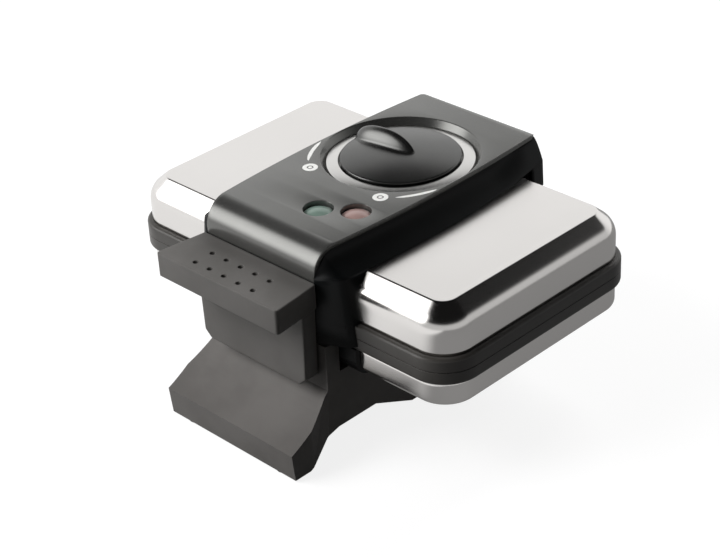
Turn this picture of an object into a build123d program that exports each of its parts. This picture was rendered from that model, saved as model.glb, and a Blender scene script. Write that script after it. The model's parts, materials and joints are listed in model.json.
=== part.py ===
"""Double belgian waffle maker: two waffle wells side by side under one hinged lid.

Millimetres, +Z up. The handle faces -Y and the two wells lie left and right along X.
Pieces are drawn about the middle of the steel body and moved to the part's origin,
the middle of the whole outline at the foot of the rubber feet, when they are written.
"""
from build123d import *
import os

os.makedirs("parts", exist_ok=True)

# Steel body
body_width = 304.0
body_depth = 187.2
body_corner = 24.0
steel_sheet = 0.9
steel_top_z = 138.0
chamfer_inset = 12.8
chamfer_drop = 10.8
shell_inner_x = 62.0
lower_shell_bottom_z = 65.0
lower_shell_edge = 9.0

# Dark rim strips round the parting line
parting_z = 94.0
parting_gap = 0.3
band_top_z = 104.0
band_bottom_z = 84.0
band_proud = 4.0
band_edge = 2.6
band_edge_share = 0.3

# Waffle wells and the cast plates that hold them
well_width = 100.0
well_length = 160.0
well_wall = 3.0
well_draft = 1.6
well_corner = 7.0
plate_floor = 3.0
plate_flange = 4.0
flange_thick = 2.5
plate_outer_margin = 6.0
lower_well_depth = 11.5
upper_well_depth = 12.5
peg_base = 13.0
peg_taper = 12.0
peg_columns = 5
peg_rows = 8
lower_peg_height = 9.0
upper_peg_height = 10.0
plate_clearance = 0.3
window_clearance = 0.3
boss_radius = 4.5
boss_height = 8.4
boss_spread_x = 20.0
boss_spread_y = 45.0

# Heaters and reflector trays
heater_radius = 3.5
heater_loop_width = 76.0
heater_loop_length = 136.0
heater_bend = 10.0
heater_tail = 10.0
heater_tail_reach = 16.0
heater_gap = 0.1
heater_slot_room = 1.0
shield_sheet = 0.6
shield_margin = 1.5
shield_screw_length = 7.0

# Bridge console on the lid
console_top_z = 157.5
console_front_y = -111.6
console_rear_y = 113.5
console_half_front = 52.5
console_half_middle = 58.6
console_half_rear = 53.5
console_middle_y = 12.0
cover_sheet = 3.0
cover_front_z = 134.2
cover_rear_z = 119.0
front_roll = 19.0
rear_roll = 9.0
cover_rear_corner = 9.0
plan_clear = 0.05
skirt_inset = 0.5
skirt_wall = 2.6
skirt_half_middle = 74.0
skirt_half_rear = 61.0
skirt_tail_half = 62.0
skirt_tail_low_z = 119.0
skirt_waist_z = 147.0
skirt_waist_grow = 2.5
lid_clearance = 0.3
wall_lap = 2.0
tie_low_z = 129.0

# Lid front wall between the two steel shells
front_wall_bottom_z = 88.0
front_wall_half_top = 68.0
front_wall_half_bottom = 75.0
front_wall_thick = 3.0

# Dial
dial_y = 26.6
dial_rim_radius = 57.2
dial_floor_radius = 53.4
dial_floor_z = 150.6
dial_sheet = 1.2
ring_outer = 52.9
ring_inner = 44.4
ring_height = 1.9
knob_radius = 43.6
knob_edge_z = 156.4
knob_crown = 1.6
knob_sheet = 2.6
knob_gap = 0.8
knob_hub_radius = 7.0
grip_tip = 10.0
grip_half_width = 8.6
grip_height = 14.0
grip_root = 0.5
grip_edge_margin = 0.3
shaft_radius = 3.0
shaft_clearance = 0.05
shaft_depth = 8.0
shaft_end_gap = 0.2

# Indicator lenses
lens_radius = 10.3
lens_hole_clearance = 0.3
lens_sink = 3.8
lens_thick = 3.0
lens_collar = 1.6
lens_edge = 1.0
green_lens_x = 12.6
green_lens_y = -67.0
red_lens_x = 35.2
red_lens_y = -53.7

# Handle
handle_front_y = -152.3
handle_half_front = 60.5
handle_half_rear = 54.5
handle_top_z = 134.9
handle_bottom_z = 116.5
handle_edge = 1.2
dimple_columns = 5
dimple_rows = 2
dimple_pitch_x = 14.1
dimple_pitch_y = 15.2
dimple_radius = 2.1
dimple_depth = 3.5
dimple_middle_y = -136.0
apron_thick = 9.6
apron_half_top = 54.0
apron_half_bottom = 49.0
apron_bottom_z = 57.0
apron_corner = 5.0
apron_screw_z = 104.0
handle_screw_z = 125.0
handle_screw_x = 25.0
handle_screw_reach = 12.0
apron_screw_reach = 6.0

# Pedestal base
floor_gap = 1.5
foot_front_y = -152.4
foot_half_front = 63.0
foot_lip_z = 22.5
foot_undercut = 2.0
column_half = 57.0
column_front_y = -110.0
column_foot_z = 48.0
column_toe = 3.5
column_toe_rise = 3.0
column_top_z = 85.6
slope_sag = 2.2
pedestal_rear_y = 111.0
rear_foot_draft = 3.0
rear_draft_drop = 6.0
pedestal_edge = 3.0
pedestal_top_z = 61.0
arch_top_z = 17.5
arch_front_y = -133.0
arch_crown_front_y = -102.0
arch_crown_rear_y = -66.0
arch_rear_y = -30.0
arch_front_run = 10.0
arch_front_drop = 2.5
arch_rear_run = 27.0
arch_rear_drop = 12.0
foot_heel_run = 3.0
foot_heel_rise = 1.5
hollow_side_margin = 3.0
hollow_front_z = 10.0
hollow_rear_z = 15.5
pedestal_wall = 3.7
housing_half = 73.0
housing_wall = 3.7
housing_clearance = 0.3
base_cover_half = 54.0
base_cover_front_y = -24.0
base_cover_rear_y = 93.0
base_cover_thick = 2.5
base_cover_ledge = 4.0
base_cover_recess = 1.2
base_cover_screw_length = 11.0
base_cover_screw_x = 40.0
base_cover_screw_front_y = -12.0
base_cover_screw_rear_y = 80.0
cover_fit = 0.3
pad_radius = 6.0
pad_height = 3.5
pad_x = 45.0
pad_front_y = -143.5
pad_rear_y = 101.0
pad_fit = 0.1
gland_z = 40.0
gland_flange_radius = 9.5
gland_flange_thick = 2.0
gland_barrel_radius = 6.5
gland_bore_radius = 3.6
gland_fit = 0.1
gland_inner_reach = 1.5
terminal_half_width = 18.0
terminal_front_y = 44.0
terminal_rear_y = 60.0
terminal_height = 13.0
terminal_way_x = 11.0
terminal_way_radius = 2.4
terminal_way_drop = 8.0

# Hinge
hinge_y = 106.0
hinge_z = 98.0
pin_radius = 3.0
knuckle_radius = 6.5
base_knuckle_inner = 40.0
base_knuckle_outer = 50.0
lid_knuckle_inner = 24.0
knuckle_side_gap = 0.4
bracket_sheet = 2.0
base_pin_clearance = 0.02
pin_overhang = 3.5
groove_depth = 0.6
clip_gap = 0.3
clip_slack = 0.2
clip_fit = 0.1
clip_thick = 1.0
clip_radius = 5.2
clip_mouth = 1.6
bracket_screw_length = 10.0
base_bracket_screw_x = 20.0
lid_bracket_screw_x = 12.0
lid_bracket_screw_rise = 7.0
lid_bracket_drop = 4.0

# Screws
screw_radius = 1.7
screw_fit = 0.15
screw_head_radius = 3.4
screw_head_height = 1.9
screw_tip_room = 1.0

# Chassis plate and what it carries inside the lid
chassis_z = 123.0
chassis_sheet = 1.2
chassis_half_width = 34.0
chassis_half_length = 84.0
chassis_corner = 6.0
chassis_screw_length = 9.0
post_radius = 5.0
post_x = 20.0
post_y = 60.0
cover_boss_x = 29.0
cover_boss_front_y = -88.0
cover_boss_rear_y = 88.0
screw_recess = 3.0
console_screw_length = 18.0
boss_clearance = 1.0
base_post_front_y = -8.0
base_post_rear_y = 78.0
base_screw_length = 15.0
thermostat_radius = 16.0
thermostat_height = 14.0
thermostat_neck_radius = 8.0
thermostat_neck_height = 3.0
lamp_radius = 3.0
lamp_holder_radius = 5.5
lamp_holder_height = 14.0
lamp_length = 18.0
lamp_socket_depth = 8.0
lamp_fit = 0.1
lamp_tip_flat = 0.4
lamp_ear = 2.0

# Worked out from the sizes above
lower_face_z = parting_z - parting_gap / 2
upper_face_z = parting_z + parting_gap / 2
plate_body_width = well_width + 2 * well_wall
plate_body_length = well_length + 2 * well_wall
flange_width = plate_body_width + 2 * plate_flange
flange_length = plate_body_length + 2 * plate_flange
plate_x = body_width / 2 + band_proud - plate_outer_margin - flange_width / 2
half_depth = body_depth / 2
band_half_depth = half_depth + band_proud
handle_seat_y = console_front_y - lid_clearance
origin_y = (foot_front_y + console_rear_y) / 2
steel_seat_z = band_top_z + lid_clearance
lid_bracket_screw_z = band_top_z + lid_bracket_screw_rise
skirt_low_z = steel_top_z + lid_clearance
shoulder_y = -band_half_depth - lid_clearance - front_wall_thick
column_rear_y = -band_half_depth - lid_clearance
lid_rear_wall_y = band_half_depth + 2 * lid_clearance
pedestal_ceiling_z = pedestal_top_z - pedestal_wall
base_cover_top_z = floor_gap + base_cover_thick
chassis_top_z = chassis_z + chassis_sheet
thermostat_top_z = chassis_top_z + thermostat_height
lens_seat_z = console_top_z - lens_sink - lens_thick
lens_places = {
    "green_lens": (green_lens_x, green_lens_y),
    "red_lens": (red_lens_x, red_lens_y),
}
handle_screw_places = [
    (side * handle_screw_x, z) for side in (-1, 1) for z in (handle_screw_z, apron_screw_z)
]
far = 400.0
touch = 0.01

# Share of the grip's length, of its half width and of its height, from rim to tip
grip_sections = [
    (0.0, 0.62, 0.62),
    (0.12, 0.95, 0.93),
    (0.3, 1.0, 1.0),
    (0.6, 0.78, 0.74),
    (0.85, 0.45, 0.38),
    (1.0, 0.12, 0.08),
]


def slab(width, depth, low, high, x=0.0, y=0.0, corner=0.0):
    """An upright block with rounded plan corners."""
    outline = RectangleRounded(width, depth, corner) if corner else Rectangle(width, depth)
    return extrude(Pos(x, y, low) * outline, amount=high - low)


def rod(radius, low, high, x=0.0, y=0.0):
    """An upright round bar."""
    return extrude(Pos(x, y, low) * Circle(radius), amount=high - low)


def rod_along_x(radius, low, high, y, z):
    """A round bar along X."""
    return Pos((low + high) / 2, y, z) * Rot(0, 90, 0) * Cylinder(radius, high - low)


def rod_along_y(radius, low, high, x, z):
    """A round bar along Y."""
    return Pos(x, (low + high) / 2, z) * Rot(90, 0, 0) * Cylinder(radius, high - low)


def block(x_low, x_high, y_low, y_high, z_low, z_high):
    """A plain block between two corners."""
    middle = Pos((x_low + x_high) / 2, (y_low + y_high) / 2, (z_low + z_high) / 2)
    return middle * Box(x_high - x_low, y_high - y_low, z_high - z_low)


def side_view(points, rounds=()):
    """A face in the YZ plane through (y, z) points, with (index, radius) corners rounded."""
    face = make_face(Polyline(*points, close=True))
    for index, radius in rounds:
        corner = face.vertices().sort_by_distance(points[index])[0]
        face = fillet(corner, radius)
    return Plane.YZ * face


def across(face, half_width):
    """A YZ face carried both ways along X."""
    return extrude(Pos(-half_width, 0, 0) * face, amount=2 * half_width, dir=(1, 0, 0))


def upright(outline):
    """A plan outline carried far up and down."""
    return extrude(Pos(0, 0, -far) * outline, amount=2 * far, dir=(0, 0, 1))


def barrel(front_y, rear_y, half_front, half_middle, half_rear, corner=0.0):
    """A plan outline whose long sides bulge evenly, with its rear corners rounded."""
    right = ThreePointArc(
        (half_front, front_y), (half_middle, console_middle_y), (half_rear, rear_y)
    )
    left = ThreePointArc(
        (-half_rear, rear_y), (-half_middle, console_middle_y), (-half_front, front_y)
    )
    rear = Line((half_rear, rear_y), (-half_rear, rear_y))
    front = Line((-half_front, front_y), (half_front, front_y))
    outline = make_face([right, rear, left, front])
    if corner:
        outline = fillet(outline.vertices().group_by(Axis.Y)[-1], corner)
    return outline


def mirrored(solid):
    """The left-hand copy of a right-hand piece."""
    return mirror(solid, Plane.YZ)


def screw_up(x, y, head_z, length):
    """A pan head screw whose shank points up from the head's upper face."""
    head = rod(screw_head_radius, head_z - screw_head_height, head_z, x, y)
    return head + rod(screw_radius, head_z, head_z + length, x, y)


def screw_down(x, y, head_z, length):
    """A pan head screw whose shank points down from the head's lower face."""
    head = rod(screw_head_radius, head_z, head_z + screw_head_height, x, y)
    return head + rod(screw_radius, head_z - length, head_z, x, y)


def screw_hole(low, high, x, y):
    """The hole that a screw's shank passes through."""
    return rod(screw_radius + screw_fit, low, high, x, y)


def four(x, front_y, rear_y):
    """Four places, left and right, front and rear."""
    return [(side * x, y) for side in (-1, 1) for y in (front_y, rear_y)]


def upper_shell_form(inset):
    """The full pressed steel top, set in by a sheet's thickness for its inside."""
    wall_top = steel_top_z - chamfer_drop - 0.4 * inset
    wall = RectangleRounded(
        body_width - 2 * inset, body_depth - 2 * inset, body_corner - inset
    )
    top = RectangleRounded(
        body_width - 2 * (inset + chamfer_inset),
        body_depth - 2 * (inset + chamfer_inset),
        body_corner - inset - chamfer_inset,
    )
    side = extrude(Pos(0, 0, band_top_z) * wall, amount=wall_top - band_top_z)
    lid = loft([Pos(0, 0, wall_top) * wall, Pos(0, 0, steel_top_z - inset) * top])
    return side + lid


def upper_shell():
    """Right-hand steel top, open below and at its inner end under the console."""
    sheet = upper_shell_form(0.0) - upper_shell_form(steel_sheet)
    return sheet & block(shell_inner_x, far, -far, far, band_top_z, steel_top_z)


def lower_shell_form(inset):
    """The full pressed steel bottom pan, with its lower edge rounded."""
    pan = slab(
        body_width - 2 * inset,
        body_depth - 2 * inset,
        lower_shell_bottom_z + inset,
        band_bottom_z,
        corner=body_corner - inset,
    )
    return fillet(pan.edges().group_by(Axis.Z)[0], lower_shell_edge - inset)


def lower_shell():
    """Right-hand steel pan, open above and at its inner end."""
    sheet = lower_shell_form(0.0) - lower_shell_form(steel_sheet)
    return sheet & block(shell_inner_x, far, -far, far, 0, band_bottom_z)


def rim_strip(low, high, edge_z):
    """A rim strip round both wells, with a window and a flange seat for each plate."""
    strip = slab(
        body_width + 2 * band_proud,
        2 * band_half_depth,
        low,
        high,
        corner=body_corner + band_proud,
    )
    outer_edge = strip.edges().filter_by_position(Axis.Z, edge_z - touch, edge_z + touch)
    strip = fillet(outer_edge, min(band_edge, band_edge_share * (high - low)))
    for side in (-1, 1):
        window = slab(
            plate_body_width + 2 * window_clearance,
            plate_body_length + 2 * window_clearance,
            low,
            high,
            x=side * plate_x,
            corner=well_corner + well_wall,
        )
        strip -= window
    return strip


def flange_seats(low, high):
    """The recesses in a rim strip that hold the two plates' flanges."""
    size_x = flange_width + 2 * plate_clearance
    size_y = flange_length + 2 * plate_clearance
    corner = well_corner + well_wall + plate_flange
    return [slab(size_x, size_y, low, high, x=side * plate_x, corner=corner) for side in (-1, 1)]


def upper_rim():
    """Lid strip, with posts for the chassis plate and holes for the console screws."""
    strip = rim_strip(upper_face_z, band_top_z, band_top_z)
    for seat in flange_seats(upper_face_z, upper_face_z + flange_thick):
        strip -= seat
    for x, y in four(post_x, -post_y, post_y):
        strip += rod(post_radius, band_top_z, chassis_z, x, y)
        strip -= screw_hole(chassis_top_z - chassis_screw_length - screw_tip_room, chassis_z, x, y)
    for x, y in four(cover_boss_x, cover_boss_front_y, cover_boss_rear_y):
        recess = screw_head_radius + plate_clearance
        strip -= rod(recess, upper_face_z, upper_face_z + screw_recess, x, y)
        strip -= screw_hole(upper_face_z, band_top_z, x, y)
    return strip


def lower_rim():
    """Base strip, with posts that the base screws reach up into."""
    strip = rim_strip(band_bottom_z, lower_face_z, band_bottom_z)
    for seat in flange_seats(lower_face_z - flange_thick, lower_face_z):
        strip -= seat
    post_bottom = pedestal_top_z + housing_wall
    hole_top = pedestal_ceiling_z + base_screw_length + screw_tip_room
    for x, y in base_post_places:
        strip += rod(post_radius, post_bottom, band_bottom_z, x, y)
        strip -= screw_hole(post_bottom, hole_top, x, y)
    return strip


def waffle_plate(depth, peg_height):
    """Cast plate with its well opening upwards at z = 0, pegs inside and bosses behind."""
    corner = well_corner + well_wall
    back = -depth - plate_floor
    plate = slab(plate_body_width, plate_body_length, back, 0, corner=corner)
    plate += slab(flange_width, flange_length, -flange_thick, 0, corner=corner + plate_flange)
    mouth = RectangleRounded(well_width, well_length, well_corner)
    floor = RectangleRounded(
        well_width - 2 * well_draft, well_length - 2 * well_draft, well_corner - well_draft
    )
    plate -= loft([Pos(0, 0, -depth) * floor, mouth])
    pitch_x = well_width / peg_columns
    pitch_y = well_length / peg_rows
    squares = Sketch() + [
        Pos(column * pitch_x, row * pitch_y, -depth) * Rectangle(peg_base, peg_base)
        for column in centred(peg_columns)
        for row in centred(peg_rows)
    ]
    plate += extrude(squares, amount=peg_height, taper=peg_taper)
    for x, y in four(boss_spread_x, -boss_spread_y, boss_spread_y):
        low = back - boss_height
        tip = low - shield_sheet + shield_screw_length
        plate += rod(boss_radius, low, back, x, y)
        plate -= screw_hole(low, tip + screw_tip_room, x, y)
    return plate


def centred(count):
    """Steps of one either side of the middle."""
    return [index - (count - 1) / 2 for index in range(count)]


def heater_loop(z):
    """Sheathed heating element: one open loop whose two tails reach inwards."""
    half_x = heater_loop_width / 2
    half_y = heater_loop_length / 2
    tail_x = -half_x - heater_tail_reach
    path = FilletPolyline(
        (tail_x, -heater_tail, z),
        (-half_x, -heater_tail, z),
        (-half_x, -half_y, z),
        (half_x, -half_y, z),
        (half_x, half_y, z),
        (-half_x, half_y, z),
        (-half_x, heater_tail, z),
        (tail_x, heater_tail, z),
        radius=heater_bend,
    )
    start = Plane(origin=path @ 0, z_dir=path % 0)
    return sweep(start * Circle(heater_radius), path=path)


def heat_shield(back_z):
    """Reflector tray behind a plate, opening upwards to the plate's back at z = back_z."""
    width = plate_body_width - 2 * shield_margin
    length = plate_body_length - 2 * shield_margin
    low = back_z - boss_height - shield_sheet
    high = back_z - heater_gap
    tray = slab(width, length, low, high, corner=well_corner)
    tray -= slab(
        width - 2 * shield_sheet,
        length - 2 * shield_sheet,
        low + shield_sheet,
        high,
        corner=well_corner - shield_sheet,
    )
    slot_half = heater_tail + heater_radius + heater_slot_room
    slot = block(-width, 0, -slot_half, slot_half, low + shield_sheet, high)
    tray -= slot
    for x, y in four(boss_spread_x, -boss_spread_y, boss_spread_y):
        tray -= screw_hole(low, low + shield_sheet, x, y)
    return tray


def shield_screws(back_z):
    """The four screws that hold a reflector tray to its plate."""
    head_z = back_z - boss_height - shield_sheet
    places = four(boss_spread_x, -boss_spread_y, boss_spread_y)
    return [screw_up(x, y, head_z, shield_screw_length) for x, y in places]


def lower_stack(depth, peg_height):
    """Plate, heater, tray and tray screws about z = 0, wells opening upwards."""
    back = -depth - plate_floor
    return {
        "plate": waffle_plate(depth, peg_height),
        "heater": heater_loop(back - heater_radius - heater_gap),
        "heat_shield": heat_shield(back),
        "shield_screws": Compound(children=shield_screws(back)),
    }


def in_base(solid):
    """A piece of the right-hand stack, moved down to the base's parting face."""
    return Pos(plate_x, 0, lower_face_z) * solid


def in_lid(solid):
    """A piece of the right-hand stack, turned over into the lid."""
    return Pos(plate_x, 0, upper_face_z) * mirror(solid, Plane.XY)


def console_side(inset, front_low, rear_low):
    """The console seen from the side, with its front and rear edges rolled down."""
    front = console_front_y + inset
    rear = console_rear_y - inset
    top = console_top_z - inset
    points = [(front, front_low), (front, top), (rear, top), (rear, rear_low)]
    return side_view(points, [(1, front_roll - inset), (2, rear_roll - inset)])


def under_cover(clearance):
    """All the room below the cover's sheet."""
    return across(console_side(cover_sheet + clearance, 0, 0), far)


def dish(grow, low, high):
    """The dial's round dish, as a cone that widens upwards."""
    slope = (dial_rim_radius - dial_floor_radius) / (console_top_z - dial_floor_z)
    floor = Circle(dial_floor_radius + grow + slope * (low - dial_floor_z))
    mouth = Circle(dial_floor_radius + grow + slope * (high - dial_floor_z))
    return loft([Pos(0, dial_y, low) * floor, Pos(0, dial_y, high) * mouth])


def console_cover():
    """Rolled top panel with the dial's dish, the lens collars and its screw bosses."""
    plan = barrel(
        console_front_y - plan_clear,
        console_rear_y + plan_clear,
        console_half_front,
        console_half_middle,
        console_half_rear,
        cover_rear_corner,
    )
    panel = across(console_side(0, cover_front_z, cover_rear_z), far) - under_cover(0)
    panel = panel & upright(plan)
    under_z = console_top_z - cover_sheet
    panel += dish(dial_sheet, dial_floor_z - dial_sheet, under_z)
    panel -= dish(0, dial_floor_z, console_top_z)
    shaft_hole = shaft_radius + knob_gap
    panel -= rod(shaft_hole, dial_floor_z - dial_sheet, dial_floor_z, 0, dial_y)
    hole = lens_radius + lens_hole_clearance
    for x, y in lens_places.values():
        panel += rod(hole + lens_collar, lens_seat_z - lens_collar, under_z, x, y)
        panel -= rod(hole, lens_seat_z, console_top_z, x, y)
        panel -= rod(lamp_radius + lens_collar, lens_seat_z - lens_collar, lens_seat_z, x, y)
    tip = upper_face_z + screw_recess + console_screw_length
    for x, y in four(cover_boss_x, cover_boss_front_y, cover_boss_rear_y):
        panel += rod(post_radius, band_top_z, under_z, x, y)
        panel -= screw_hole(band_top_z, tip + screw_tip_room, x, y)
    return panel


def skirt_ring(z, front, half_shoulder, half_middle, half_rear, inset):
    """One level of the skirt's plan: a narrow front, slanted shoulders and bulged sides."""
    rear = console_rear_y - cover_sheet - lid_clearance - inset
    nose = (console_half_front - skirt_inset - inset, front + inset)
    shoulder = (half_shoulder - inset, shoulder_y + inset)
    middle = (half_middle - inset, console_middle_y)
    back = (half_rear - inset, rear)
    right = [Line(nose, shoulder), ThreePointArc(shoulder, middle, back)]
    left = [mirror(edge, Plane.YZ) for edge in right]
    front_edge = Line(nose, (-nose[0], nose[1]))
    rear_edge = Line(back, (-back[0], back[1]))
    return Pos(0, 0, z) * make_face([*right, *left, front_edge, rear_edge])


def skirt_sides(inset):
    """The skirt above the steel: its sides flare out in a hollow curve as they go down."""
    front = console_front_y + cover_sheet + lid_clearance
    top = skirt_ring(
        console_top_z - cover_sheet - lid_clearance - plan_clear,
        front,
        console_half_front + skirt_inset,
        console_half_middle - skirt_inset,
        console_half_rear - skirt_inset,
        inset,
    )
    waist = skirt_ring(
        skirt_waist_z,
        front,
        console_half_front + skirt_waist_grow + skirt_inset,
        console_half_middle + skirt_waist_grow,
        console_half_rear + skirt_waist_grow,
        inset,
    )
    foot = skirt_ring(
        skirt_low_z, front, front_wall_half_top, skirt_half_middle, skirt_half_rear, inset
    )
    return loft([waist, top], ruled=True) + loft([foot, waist], ruled=True)


def skirt_tail(inset):
    """The skirt's end behind the steel, where it hangs lower over the hinge."""
    rear = console_rear_y - cover_sheet - lid_clearance - inset
    front = half_depth + lid_clearance

    def ring(z, half):
        return Pos(0, (front + rear) / 2, z) * Rectangle(2 * (half - inset), rear - front)

    return loft([ring(skirt_tail_low_z, skirt_tail_half), ring(skirt_low_z, skirt_half_rear)])


def front_wall_form(inset):
    """The lid's front wall between the steel shells, narrower towards the console."""

    def ring(z, half):
        nose = (console_half_front - skirt_inset - inset, handle_seat_y + inset)
        points = [nose, (half - inset, shoulder_y + inset), (half - inset, -half_depth)]
        other = [(-x, y) for x, y in reversed(points)]
        return Pos(0, 0, z) * make_face(Polyline(*points, *other, close=True))

    low = ring(front_wall_bottom_z, front_wall_half_bottom)
    high = ring(skirt_low_z, front_wall_half_top)
    return loft([low, high], ruled=True)


def console_skirt():
    """Black lid centre: flared sides, front wall with the handle seat, rear wall and shelf."""
    room = under_cover(lid_clearance)
    skirt = (skirt_sides(0) - skirt_sides(skirt_wall)) & room
    wall = front_wall_form(0) - front_wall_form(front_wall_thick)
    wall -= block(-far, far, -band_half_depth - lid_clearance, far, 0, steel_seat_z)
    wall -= block(-far, far, -half_depth - lid_clearance, far, 0, skirt_low_z)
    cover_reach = console_half_front + lid_clearance
    cover_inner = console_front_y + cover_sheet + lid_clearance
    wall -= block(
        -cover_reach, cover_reach, -far, cover_inner, cover_front_z - lid_clearance, far
    )
    tie_half = console_half_front - skirt_inset - front_wall_thick
    tie_front = handle_seat_y + front_wall_thick
    tie = block(
        -tie_half, tie_half, tie_front, cover_inner + skirt_wall, tie_low_z, skirt_low_z + wall_lap
    )
    tie -= block(-far, far, -far, cover_inner, cover_front_z - lid_clearance, far)
    rear_inner = half_depth + lid_clearance
    rear_half = skirt_half_rear - skirt_wall / 2
    rear_wall = block(
        -rear_half, rear_half, rear_inner, lid_rear_wall_y, steel_seat_z, skirt_low_z + wall_lap
    )
    tail = skirt_tail(0) - skirt_tail(skirt_wall)
    tail += skirt_tail(0) & block(-far, far, -far, far, 0, skirt_tail_low_z + skirt_wall)
    skirt = skirt + wall + tie + rear_wall + tail
    dish_low = dial_floor_z - dial_sheet - lid_clearance
    skirt -= dish(dial_sheet + lid_clearance, dish_low, console_top_z)
    for x, z in handle_screw_places:
        skirt -= rod_along_y(screw_radius + screw_fit, handle_seat_y, tie_front, x, z)
    for side in (-1, 1):
        skirt -= rod_along_y(
            screw_radius + screw_fit, rear_inner - wall_lap, lid_rear_wall_y + wall_lap,
            side * lid_bracket_screw_x, lid_bracket_screw_z,
        )
    return skirt


def dial_ring():
    """Bright trim ring lying on the dish's floor round the knob."""
    ring = rod(ring_outer, dial_floor_z, dial_floor_z + ring_height, 0, dial_y)
    ring = chamfer(ring.edges().group_by(Axis.Z)[-1], ring_height / 2)
    return ring - rod(ring_inner, dial_floor_z, dial_floor_z + ring_height, 0, dial_y)


def knob():
    """Hollow turning disc with a low crown, a teardrop finger grip and a hub."""
    low = dial_floor_z + knob_gap
    under_z = knob_edge_z - knob_sheet
    crown_z = knob_edge_z + knob_crown
    crown = ThreePointArc(
        (0, crown_z), (knob_radius / 2, crown_z - knob_crown / 4), (knob_radius, knob_edge_z)
    )
    walls = Polyline(
        (knob_radius, knob_edge_z),
        (knob_radius, low),
        (knob_radius - knob_sheet, low),
        (knob_radius - knob_sheet, under_z),
        (knob_hub_radius, under_z),
        (knob_hub_radius, low),
        (0, low),
        (0, crown_z),
    )
    disc = revolve(Plane.XZ * make_face([crown, walls]), Axis.Z)
    length = knob_radius + grip_tip
    sections = []
    for along, width, height in grip_sections:
        ellipse = Ellipse(grip_half_width * width, grip_height * height)
        origin = (along * length - knob_radius, 0, knob_edge_z)
        sections.append(Plane(origin=origin, x_dir=(0, 1, 0), z_dir=(1, 0, 0)) * ellipse)
    room = rod(knob_radius - grip_edge_margin, under_z + grip_root, knob_edge_z + 2 * grip_height)
    grip = loft(sections) & room
    body = disc + grip
    body -= rod(shaft_radius + shaft_clearance, low, under_z)
    return Pos(0, dial_y, 0) * body


def thermostat_shaft():
    """Spindle from the thermostat up into the knob's hub."""
    top = knob_edge_z - knob_sheet - shaft_end_gap
    return rod(shaft_radius, thermostat_top_z - shaft_depth, top, 0, dial_y)


def thermostat():
    """Round thermostat body on the chassis plate, bored for its spindle."""
    body = rod(thermostat_radius, chassis_top_z, thermostat_top_z, 0, dial_y)
    neck_top = thermostat_top_z + thermostat_neck_height
    body += rod(thermostat_neck_radius, thermostat_top_z, neck_top, 0, dial_y)
    bore = shaft_radius + shaft_clearance
    return body - rod(bore, thermostat_top_z - shaft_depth - shaft_end_gap, neck_top, 0, dial_y)


def chassis():
    """Steel plate that carries the thermostat and the lamps."""
    plate = slab(
        2 * chassis_half_width,
        2 * chassis_half_length,
        chassis_z,
        chassis_top_z,
        corner=chassis_corner,
    )
    for x, y in four(post_x, -post_y, post_y):
        plate -= screw_hole(chassis_z, chassis_top_z, x, y)
    for x, y in four(cover_boss_x, cover_boss_front_y, cover_boss_rear_y):
        plate -= rod(post_radius + boss_clearance, chassis_z, chassis_top_z, x, y)
    ear = lamp_holder_radius + lamp_ear
    plate += rod(ear, chassis_z, chassis_top_z, red_lens_x, red_lens_y)
    return plate


def lens(x, y):
    """Clear coloured button lying in its collar under the panel's face."""
    button = rod(lens_radius, lens_seat_z, lens_seat_z + lens_thick, x, y)
    return fillet(button.edges().group_by(Axis.Z)[-1], lens_edge)


def lamp_holder(x, y):
    """Socket that holds a lamp upright under its lens."""
    top = chassis_top_z + lamp_holder_height
    socket = rod(lamp_holder_radius, chassis_top_z, top, x, y)
    return socket - rod(lamp_radius + lamp_fit, top - lamp_socket_depth, top, x, y)


def lamp(x, y):
    """Small neon lamp with a domed tip."""
    base = chassis_top_z + lamp_holder_height - lamp_socket_depth
    bulb = rod(lamp_radius, base, base + lamp_length, x, y)
    return fillet(bulb.edges().group_by(Axis.Z)[-1], lamp_radius - lamp_tip_flat)


def handle_ledge():
    """Lift handle: a flat ledge with two rows of blind dimples, narrower at its root."""
    outline = Polyline(
        (-handle_half_front, handle_front_y),
        (handle_half_front, handle_front_y),
        (handle_half_rear, handle_seat_y),
        (-handle_half_rear, handle_seat_y),
        close=True,
    )
    height = handle_top_z - handle_bottom_z
    ledge = extrude(Pos(0, 0, handle_bottom_z) * make_face(outline), amount=height, dir=(0, 0, 1))
    front = ledge.edges().filter_by(lambda edge: edge.center().Y < handle_seat_y - handle_edge)
    ledge = fillet(front, handle_edge)
    for column in centred(dimple_columns):
        for row in centred(dimple_rows):
            x = column * dimple_pitch_x
            y = dimple_middle_y + row * dimple_pitch_y
            ledge -= rod(dimple_radius, handle_top_z - dimple_depth, handle_top_z, x, y)
    for side in (-1, 1):
        reach = handle_seat_y - handle_screw_reach
        ledge -= rod_along_y(
            screw_radius + screw_fit, reach, handle_seat_y, side * handle_screw_x, handle_screw_z
        )
    return ledge


def handle_apron():
    """Plate hanging under the ledge, tapering down to two cut corners."""
    points = [
        (-apron_half_top, handle_bottom_z),
        (apron_half_top, handle_bottom_z),
        (apron_half_bottom, apron_bottom_z + apron_corner),
        (apron_half_bottom - apron_corner, apron_bottom_z),
        (apron_corner - apron_half_bottom, apron_bottom_z),
        (-apron_half_bottom, apron_bottom_z + apron_corner),
    ]
    face = Plane.XZ * make_face(Polyline(*points, close=True))
    plate = Pos(0, handle_seat_y, 0) * extrude(face, amount=apron_thick, dir=(0, -1, 0))
    face_y = handle_seat_y - apron_thick
    front = plate.edges().filter_by(lambda edge: edge.center().Y < face_y + touch)
    lower = front.filter_by(lambda edge: edge.center().Z < handle_bottom_z - handle_edge)
    plate = fillet(lower, handle_edge)
    for side in (-1, 1):
        reach = handle_seat_y - apron_screw_reach
        plate -= rod_along_y(
            screw_radius + screw_fit, reach, handle_seat_y, side * handle_screw_x, apron_screw_z
        )
    return plate


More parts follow.
